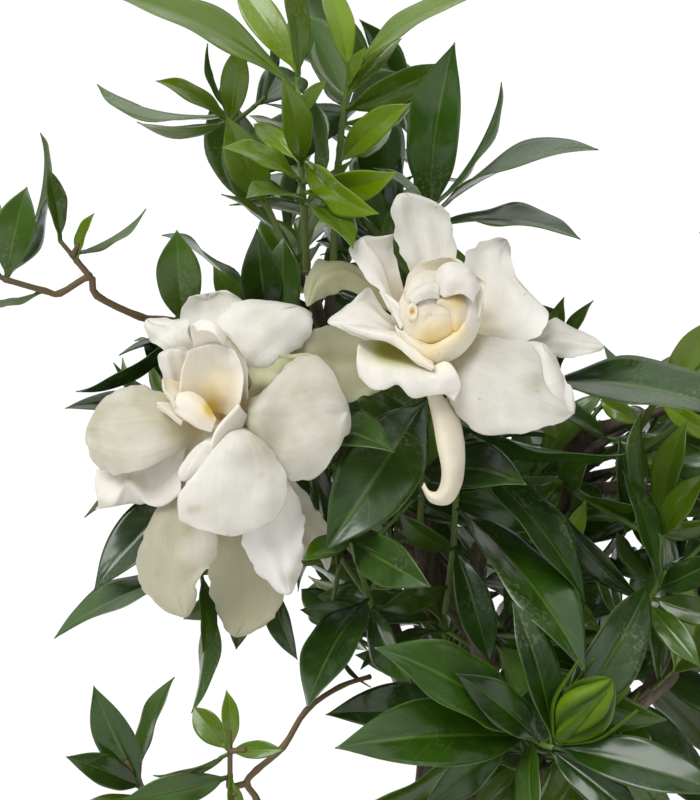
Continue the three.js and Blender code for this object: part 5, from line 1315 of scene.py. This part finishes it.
def finished(material, constants, links, relief=None):
    """The material with its Principled shader, whose constant values are set on its own sockets.

    The relief is the node that gives its height, its strength and its depth.
    """
    tree = material.node_tree
    if relief:
        height, strength, depth = relief
        bump = add_node(tree, "Bump", {"Strength": strength, "Distance": depth}, {"Height": height})
        links["Normal"] = bump
    shader = add_node(tree, "BsdfPrincipled", constants, links)
    add_node(tree, "OutputMaterial", links={"Surface": shader})
    return material


def leaf_material(settings):
    """Living gardenia leaf, waxy cuticle: deep green with a cool sheen, pale midrib, duller underside."""
    material, tree, place = new_material("Waxy gardenia leaf")
    drawn, youth, underside, _ = painted_tones(tree)
    uv = add_node(tree, "SeparateXYZ", links={0: add_node(tree, "UVMap", uv_map="UVMap")})
    mottle = add_node(tree, "TexNoise", {"Scale": 1 / (12 * MM), "Detail": 3}, {"Vector": place})
    # across is 0 on the midrib and 1 on the margin
    centred = add_node(tree, "Math", (0.5,), {0: uv}, operation="SUBTRACT")
    absolute = add_node(tree, "Math", (), {0: centred}, operation="ABSOLUTE")
    across = add_node(tree, "Math", (2,), {0: absolute}, operation="MULTIPLY")
    slant = add_node(tree, "Math", (VEIN_SLANT,), {0: across}, operation="MULTIPLY")
    along = add_node(tree, "Math", (), {0: (uv, 1), 1: slant}, operation="SUBTRACT")
    order = add_node(tree, "Math", (SIDE_VEINS,), {0: along}, operation="MULTIPLY")
    between = add_node(tree, "Math", (0.5,), {0: order}, operation="PINGPONG")
    side_vein, midrib, margin = (
        add_node(tree, "MapRange", span, {0: source}, interpolation_type="SMOOTHSTEP")
        for source, span in ((between, (0, 0.07, 1, 0)), (across, (0.02, 0.07, 1, 0)),
                             (across, (0.95, 0.99, 0, 1))))
    shift = add_node(tree, "Math", (0.6,), {0: drawn, 2: mottle}, operation="MULTIPLY_ADD")
    # pale specks in patches: dried dust and hard water, and in part a painted sheen
    patches = add_node(tree, "TexNoise", {"Scale": 1 / (22 * MM), "Detail": 1}, {"Vector": place})
    specks = add_node(tree, "TexNoise", {"Scale": 1 / (1.3 * MM), "Detail": 3}, {"Vector": place})
    patched = add_node(tree, "MapRange", (0.54, 0.76, 0, 0.22), {0: patches})
    specked = add_node(tree, "MapRange", (0.5, 0.66, 0, 1), {0: specks})
    dust_and_sheen = add_node(tree, "Math", (), {0: patched, 1: specked}, operation="MULTIPLY")
    colour = layered(
        tree, settings.deep, (settings.mid, shift, (0.3, 1.3, 0, 1)), (settings.young, youth, WHOLE),
        (settings.vein, side_vein, (0, 1, 0, 0.09)), (settings.vein, midrib, (0, 1, 0, 0.32)),
        (settings.vein, margin, (0, 1, 0, 0.3)), (settings.under, underside, (0, 1, 0, 0.6)),
        (linear("#a9a988"), dust_and_sheen, WHOLE))
    rough = add_node(tree, "MapRange", (0.35, 0.65, 0.32, 0.5), {0: mottle})
    dull = add_node(tree, "Math", (0.22,), {0: underside, 2: rough}, operation="MULTIPLY_ADD")
    grain = add_node(tree, "TexNoise", {"Scale": 1 / (1.1 * MM), "Detail": 2}, {"Vector": place})
    height = add_node(tree, "Math", (-0.5,), {0: side_vein, 2: grain}, operation="MULTIPLY_ADD")
    return finished(material, {"IOR": 1.45, "Specular IOR Level": 0.12, "Coat Weight": 0.75,
                               "Coat Roughness": 0.19, "Coat IOR": 1.5},
                    {"Base Color": colour, "Roughness": dull}, (height, 0.22, 0.4 * MM))


def stem_material(settings):
    """Green shoot bark that turns brown and corky towards its foot."""
    material, tree, place = new_material("Young gardenia bark")
    green = painted_tones(tree)[0]
    specks = add_node(tree, "TexNoise", {"Scale": 1 / (1.6 * MM), "Detail": 4}, {"Vector": place})
    shift = add_node(tree, "Math", (0.35,), {0: specks, 2: green}, operation="MULTIPLY_ADD")
    colour = layered(tree, settings.bark, (settings.shoot, shift, (0.5, 1, 0, 1)))
    return finished(material, {"IOR": 1.45, "Roughness": 0.62}, {"Base Color": colour},
                    (specks, 0.4, 0.3 * MM))


def bark_material(settings):
    """Grey-brown gardenia bark: fine lengthwise cracks, some pale lenticels."""
    material, tree, place = new_material("Gardenia bark")
    stretched = add_node(tree, "Mapping", {"Scale": (1, 1, 0.28)}, {"Vector": place})
    cracks = add_node(tree, "TexNoise", {"Scale": 1 / (1.8 * MM), "Detail": 5, "Roughness": 0.65},
                      {"Vector": stretched})
    patches = add_node(tree, "TexNoise", {"Scale": 1 / (20 * MM), "Detail": 2}, {"Vector": place})
    colour = layered(tree, linear("#332a20"), (settings.trunk, cracks, (0.35, 0.65, 0, 1)),
                     (linear("#7d7263"), patches, (0.45, 0.7, 0, 0.5)))
    return finished(material, {"IOR": 1.5, "Roughness": 0.85}, {"Base Color": colour},
                    (cracks, 0.8, 0.6 * MM))


def petal_material(settings):
    """Fleshy gardenia petal, satin and a little translucent: cream white, warmer towards the heart."""
    material, tree, place = new_material("Gardenia petal")
    warmth, green_cast_and_hollow_shade, shade, unmarked = painted_tones(tree)
    clouds = add_node(tree, "TexNoise", {"Scale": 1 / (16 * MM), "Detail": 3}, {"Vector": place})
    cloudy = add_node(tree, "MapRange", (0.4, 0.72, 0, 0.4), {0: clouds})
    uv = add_node(tree, "UVMap", uv_map="UVMap")
    lines = add_node(tree, "Mapping", {"Scale": (26, 1.6, 1)}, {"Vector": uv})
    veins = add_node(tree, "TexNoise", {"Scale": 1, "Detail": 2}, {"Vector": lines})
    veined = add_node(tree, "Math", (0.2,), {0: veins, 2: cloudy}, operation="MULTIPLY_ADD")
    shaded = add_node(tree, "Math", (), {0: veined, 1: shade}, operation="ADD")
    spots = add_node(tree, "TexVoronoi", {"Scale": 1 / (8.5 * MM)}, {"Vector": place})
    # shade is painted shade and, below 0, painted light; green past 1 is olive painted shade in the hollow
    # # under a lip, warmth past 1 the golden throat, and over all lie dry spots and brown marks
    colour = layered(
        tree, settings.petal, (settings.petal_shade, shaded, WHOLE), (settings.petal_warm, warmth, WHOLE),
        (settings.petal_green, green_cast_and_hollow_shade, WHOLE), (linear("#98963c"), green_cast_and_hollow_shade, (1, 2, 0, 1)),
        (settings.throat, warmth, (1, 2, 0, 1)), (linear("#a8956a"), spots, (0.03, 0.075, 0.45, 0)),
        (linear("#9a7d45"), unmarked, (1, 0, 0, 0.6)))
    return finished(material, {"IOR": 1.4, "Roughness": 0.55, "Subsurface Weight": 0.35,
                               "Subsurface Scale": 5 * MM, "Subsurface Radius": (1, 0.82, 0.52),
                               "Sheen Weight": 0.06, "Sheen Roughness": 0.5},
                    {"Base Color": colour}, (veins, 0.25, 0.4 * MM))


def bud_material(settings):
    """Flower bud and sepals, smooth and satin: lime green, paler along the folds."""
    material, tree, place = new_material("Gardenia bud")
    ridge = painted_tones(tree)[0]
    mottle = add_node(tree, "TexNoise", {"Scale": 1 / (4 * MM), "Detail": 3}, {"Vector": place})
    shift = add_node(tree, "Math", (0.4,), {0: mottle, 2: ridge}, operation="MULTIPLY_ADD")
    colour = layered(tree, linear("#2c4604"), (settings.bud, shift, (0.5, 1.3, 0, 1)))
    return finished(material, {"IOR": 1.45, "Roughness": 0.52, "Specular IOR Level": 0.25,
                               "Subsurface Weight": 0.1, "Subsurface Scale": 2 * MM},
                    {"Base Color": colour}, (mottle, 0.15, 0.3 * MM))


def clay_material(settings):
    """Fired terracotta, thrown and unglazed: matt orange clay with throwing marks and pale lime bloom."""
    material, tree, place = new_material("Fired terracotta")
    grog = add_node(tree, "TexNoise", {"Scale": 1 / (0.9 * MM), "Detail": 4}, {"Vector": place})
    clouds = add_node(tree, "TexNoise", {"Scale": 1 / (45 * MM), "Detail": 4, "Roughness": 0.6},
                      {"Vector": place})
    rings = add_node(tree, "Mapping", {"Scale": (0.04, 0.04, 1)}, {"Vector": place})
    marks = add_node(tree, "TexNoise", {"Scale": 1 / (2.2 * MM), "Detail": 3}, {"Vector": rings})
    colour = layered(tree, linear("#a4542f"), (settings.clay, grog, (0.3, 0.7, 0, 1)),
                     (linear("#d9b79c"), clouds, (0.52, 0.75, 0, 0.45)))
    height = add_node(tree, "Math", (0.4,), {0: grog, 2: marks}, operation="MULTIPLY_ADD")
    return finished(material, {"IOR": 1.5, "Roughness": 0.9}, {"Base Color": colour},
                    (height, 0.35, 0.6 * MM))


def soil_material(settings):
    """Moist potting soil: dark crumbs with a few lighter fibres."""
    material, tree, place = new_material("Moist potting soil")
    crumbs = add_node(tree, "TexNoise", {"Scale": 1 / (2.5 * MM), "Detail": 6, "Roughness": 0.7},
                      {"Vector": place})
    colour = layered(tree, linear("#1d140e"), (settings.soil, crumbs, (0.35, 0.7, 0, 1)))
    return finished(material, {"IOR": 1.4, "Roughness": 0.95}, {"Base Color": colour}, (crumbs, 0.9, MM))


def floor_material(settings):
    """Matt painted studio floor, almost even in tone."""
    material, tree, place = new_material("Matt white paint")
    grain = add_node(tree, "TexNoise", {"Scale": 1 / (4 * MM), "Detail": 2}, {"Vector": place})
    colour = layered(tree, settings.floor, (linear("#e6e6e6"), grain, (0, 1, 0, 0.03)))
    return finished(material, {"IOR": 1.45, "Roughness": 0.9}, {"Base Color": colour})


# What a user would change

def colour_setting(name, description, colour):
    """A colour that a user may change, with its default as a hex sRGB colour."""
    return bpy.props.FloatVectorProperty(name=name, description=description, subtype="COLOR", size=4,
                                         min=0, max=1, default=linear(colour))


class PotSettings(bpy.types.PropertyGroup):
    """Sizes and colours of the pot and its soil."""
    rim_height: bpy.props.FloatProperty(
        name="Rim height", description="Height of the band round the pot's mouth", default=30 * MM,
        unit="LENGTH")
    wall: bpy.props.FloatProperty(
        name="Wall", description="Thickness of the pot's wall", default=7 * MM, unit="LENGTH")
    clay: colour_setting("Clay", "Colour of the fired clay", "#bd6a41")
    soil: colour_setting("Soil", "Colour of the soil's lighter crumbs", "#4a3423")


class PlantSettings(bpy.types.PropertyGroup):
    """Colours of the leaves, the wood and the blooms."""
    seed: bpy.props.IntProperty(
        name="Seed", description="Starts the random draw of waves and tones", default=11)
    deep: colour_setting("Deep green", "Darkest green of the leaves", "#0b2203")
    mid: colour_setting("Mid green", "Lightest green of full leaves", "#2f5106")
    young: colour_setting("Young green", "Green of young leaves", "#76930a")
    vein: colour_setting("Veins", "Colour of midribs and leaf edges", "#668030")
    under: colour_setting("Underside", "Colour of leaf undersides", "#3d5921")
    shoot: colour_setting("Shoot", "Green of young stems", "#55702b")
    bark: colour_setting("Bark", "Brown of twigs", "#5f4f34")
    trunk: colour_setting("Trunk", "Brown of the trunk and limbs", "#5b4e3f")
    petal: colour_setting("Petal", "White of the petals", "#f6f0e4")
    petal_shade: colour_setting("Petal shade", "Greyer white in clouds and shade", "#a9a48c")
    petal_warm: colour_setting("Petal heart", "Cream at the heart", "#f0dbac")
    petal_green: colour_setting("Petal green", "Green cast of some petals", "#b9bb80")
    throat: colour_setting("Throat", "Gold deep in the heart", "#e3bb55")
    bud: colour_setting("Bud", "Lime green of the bud", "#5f7d06")


class StageSettings(bpy.types.PropertyGroup):
    """Floor, light and camera."""
    floor: colour_setting("Floor", "Colour of the floor", "#fbfbfb")
    floor_size: bpy.props.FloatProperty(
        name="Floor size", description="Width of the round floor", default=8.0, unit="LENGTH")
    sky: bpy.props.FloatProperty(
        name="Surround", description="Strength of the white light from all round", default=1.04)
    key: bpy.props.FloatProperty(
        name="Daylight", description="Strength of the soft light from above", default=2.45)


# Operators

class GARDENIA_OT_stage(bpy.types.Operator):
    """Sets the floor, the soft light and the camera of the photograph's view"""
    bl_idname = "gardenia.stage"
    bl_label = "Set the stage"

    def execute(self, context):
        settings = context.scene.gardenia_stage
        make_camera(context.scene)
        make_light(context.scene, settings)
        floor = bpy.data.meshes.new("floor")
        shape = bmesh.new()
        bmesh.ops.create_circle(shape, cap_ends=True, segments=96, radius=settings.floor_size / 2)
        shape.to_mesh(floor)
        shape.free()
        floor.materials.append(floor_material(settings))
        piece = add_object("floor", floor)
        return {"FINISHED"}


def make_camera(scene):
    """Sets the camera that sees the plant as the photograph does."""
    data = bpy.data.cameras.new("camera")
    data.sensor_width = 36
    data.lens = data.sensor_width * VIEW_DISTANCE / VIEW_HEIGHT
    camera = add_object("camera", data)
    camera.location = VIEW_MIDDLE + FORWARD * VIEW_DISTANCE
    camera.rotation_euler = (math.pi / 2 - VIEW_TILT, 0, 0)
    scene.camera = camera


def make_light(scene, settings):
    """Bright white low all round, dimmer higher up, with one soft light above on the left.

    What glossy surfaces mirror is the other way round: a bright ceiling over dim walls, like open sky.
    """
    sky = settings.sky
    world = bpy.data.worlds.new("white surround")
    world.use_nodes = True
    tree = world.node_tree
    background = tree.nodes["Background"]
    parts = add_node(tree, "SeparateXYZ", links={0: (add_node(tree, "TexCoord"), "Generated")})
    lit, mirrored = (add_node(tree, "MapRange", span, {0: (parts, 2)}, interpolation_type="SMOOTHSTEP")
                     for span in ((0.08, 0.4, sky, 0.42 * sky), (0.1, 0.7, 0.16 * sky, 1.3 * sky)))
    ray = add_node(tree, "LightPath")
    strength = add_node(tree, "Mix", (), {0: (ray, "Is Glossy Ray"), 2: lit, 3: mirrored})
    tree.links.new(strength.outputs[0], background.inputs["Strength"])
    background.inputs["Color"].default_value = (1, 1, 1, 1)
    scene.world = world
    scene.view_settings.view_transform = "Standard"
    data = bpy.data.lights.new("soft daylight", "SUN")
    data.energy = settings.key
    data.angle = math.radians(38)
    light = add_object("soft daylight", data)
    light.rotation_euler = Vector((0.42, 0.5, -1)).to_track_quat("-Z", "Y").to_euler()


class GARDENIA_OT_pot(bpy.types.Operator):
    """Turns the terracotta pot"""
    bl_idname = "gardenia.pot"
    bl_label = "Make the pot"

    def execute(self, context):
        settings = context.scene.gardenia_pot
        rim, _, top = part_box("pot")[1]
        band = top - settings.rim_height
        band_foot = POT_FOOT + (rim - 4 * MM - POT_FOOT) * band / top
        corners = [(0, 0, 0), (POT_FOOT, 0, 2.5 * MM), (band_foot, band, 0.8 * MM),
                   (rim - 1.2 * MM, band + 0.6 * MM, 1.5 * MM), (rim, top, 2.6 * MM),
                   (rim - settings.wall, top, 2.4 * MM), (POT_FOOT - settings.wall, POT_FLOOR, 3 * MM),
                   (0, POT_FLOOR, 0)]
        points, faces = lathe(denser(rounded_profile(corners, 5), 6 * MM), POT_SIDES)
        # a hand-thrown pot is never quite round
        for point in points:
            turn = math.atan2(point[1], point[0])
            point[:2] *= 1 + 0.0022 * math.sin(2 * turn + 0.6) + 0.0012 * math.sin(5 * turn)
        piece = Gathered()
        piece.add(points, faces)
        pot = piece.make("clay_pot", [clay_material(settings)], "pot")
        cut_drain_holes(pot)
        return {"FINISHED"}


def cut_drain_holes(pot):
    """Cuts four round holes through the pot's floor."""
    shape = bmesh.new()
    for i in range(4):
        turn = math.radians(90 * (i + 0.5))
        place = Vector((DRAIN_CIRCLE * math.cos(turn), DRAIN_CIRCLE * math.sin(turn), 0))
        bmesh.ops.create_cone(shape, cap_ends=True, segments=32, radius1=DRAIN_RADIUS, radius2=DRAIN_RADIUS,
                              depth=40 * MM, matrix=Matrix.Translation(place))
    mesh = bpy.data.meshes.new("drain holes")
    shape.to_mesh(mesh)
    shape.free()
    cutter = add_object("drain holes", mesh)
    cut = pot.modifiers.new("Drain holes", "BOOLEAN")
    cut.operation = "DIFFERENCE"
    cut.solver = "EXACT"
    cut.object = cutter
    pot.data = applied(pot)
    bpy.data.objects.remove(cutter)


def denser(profile, longest):
    """A profile whose stretches are no longer than longest."""
    dense = [profile[0]]
    for before, after in zip(profile, profile[1:]):
        parts = max(1, math.ceil(math.dist(before, after) / longest))
        for k in range(1, parts + 1):
            dense.append(tuple(b + (a - b) * k / parts for b, a in zip(before, after)))
    return dense


class GARDENIA_OT_soil(bpy.types.Operator):
    """Fills the pot with crumbly soil"""
    bl_idname = "gardenia.soil"
    bl_label = "Make the soil"

    def execute(self, context):
        settings = context.scene.gardenia_pot
        low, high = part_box("soil")
        edge = high.x
        profile = [(0, low.z), (edge * 0.68, low.z), (edge, high.z - SOIL_DOME)]
        for k in range(1, SOIL_RINGS):
            share = 1 - k / SOIL_RINGS
            profile.append((edge * share, high.z - SOIL_DOME * share ** 2 - SOIL_LOW))
        profile.append((0, high.z - SOIL_LOW))
        points, faces = lathe(profile, SOIL_SIDES)
        for point in points[1:-1]:
            if point[2] >= high.z - SOIL_DOME - MM:
                point[2] += crumb_height(*point[:2])
        piece = Gathered()
        piece.add(points, faces)
        piece.make("potting_soil", [soil_material(settings)], "soil")
        return {"FINISHED"}


def crumb_height(x, y):
    """How far lumps and crumbs stand up from the soil at a place."""
    coarse = noise.noise(Vector((x, y, 0)) / (14 * MM)) * 1.6
    crumb = abs(noise.noise(Vector((x, y, 3)) / (3.4 * MM))) * 2.2
    return (coarse + crumb - 1.4) * MM


class GARDENIA_OT_wood(bpy.types.Operator):
    """Rounds the trunk, limbs and twigs and gives them bark"""
    bl_idname = "gardenia.wood"
    bl_label = "Make the wood"

    def execute(self, context):
        make_wood(bark_material(context.scene.gardenia_plant))
        return {"FINISHED"}


class GARDENIA_OT_leafy_shoots(bpy.types.Operator):
    """Draws every leafy shoot again with fine leaves and stems"""
    bl_idname = "gardenia.leafy_shoots"
    bl_label = "Make the leafy shoots"

    def execute(self, context):
        settings = context.scene.gardenia_plant
        rng = random.Random(settings.seed)
        materials = [leaf_material(settings), stem_material(settings)]
        shoots = read_all_shoots()
        grow_inner_shoots(shoots, *bark_samples(), rng)
        for node, shoot in shoots.items():
            make_shoot(node, shoot, materials, rng)
        return {"FINISHED"}


class GARDENIA_OT_blooms(bpy.types.Operator):
    """Draws both double blooms petal by petal"""
    bl_idname = "gardenia.blooms"
    bl_label = "Make the blooms"

    def execute(self, context):
        material = petal_material(context.scene.gardenia_plant)
        for name in BLOOMS:
            make_bloom(name, [material])
        return {"FINISHED"}


class GARDENIA_OT_bud(bpy.types.Operator):
    """Draws the flower bud and its sepals"""
    bl_idname = "gardenia.bud"
    bl_label = "Make the bud"

    def execute(self, context):
        make_bud([bud_material(context.scene.gardenia_plant)])
        return {"FINISHED"}


class GARDENIA_PT_panel(bpy.types.Panel):
    """Lists the pieces of the plant and their settings"""
    bl_idname = "GARDENIA_PT_panel"
    bl_label = "Gardenia"
    bl_space_type = "VIEW_3D"
    bl_region_type = "UI"
    bl_category = "Gardenia"

    def draw(self, context):
        for name in SETTINGS:
            settings = getattr(context.scene, name)
            box = self.layout.box()
            for key in settings.__annotations__:
                box.prop(settings, key)
        for operator in OPERATORS:
            self.layout.operator(operator.bl_idname)


SETTINGS = {"gardenia_pot": PotSettings, "gardenia_plant": PlantSettings, "gardenia_stage": StageSettings}
OPERATORS = (GARDENIA_OT_stage, GARDENIA_OT_pot, GARDENIA_OT_soil, GARDENIA_OT_wood,
             GARDENIA_OT_leafy_shoots, GARDENIA_OT_blooms, GARDENIA_OT_bud)


def register():
    """Registers the settings, the operators and the panel."""
    for group in SETTINGS.values():
        bpy.utils.register_class(group)
    for name, group in SETTINGS.items():
        setattr(bpy.types.Scene, name, bpy.props.PointerProperty(type=group))
    for operator in OPERATORS:
        bpy.utils.register_class(operator)
    bpy.utils.register_class(GARDENIA_PT_panel)


def unregister():
    """Takes back what register did."""
    bpy.utils.unregister_class(GARDENIA_PT_panel)
    for operator in reversed(OPERATORS):
        bpy.utils.unregister_class(operator)
    for name, group in SETTINGS.items():
        delattr(bpy.types.Scene, name)
        bpy.utils.unregister_class(group)


def main():
    """Makes the plant and its stage."""
    register()
    bpy.ops.gardenia.stage()
    bpy.ops.gardenia.pot()
    bpy.ops.gardenia.soil()
    bpy.ops.gardenia.wood()
    bpy.ops.gardenia.leafy_shoots()
    bpy.ops.gardenia.blooms()
    bpy.ops.gardenia.bud()


if __name__ == "__main__":
    main()
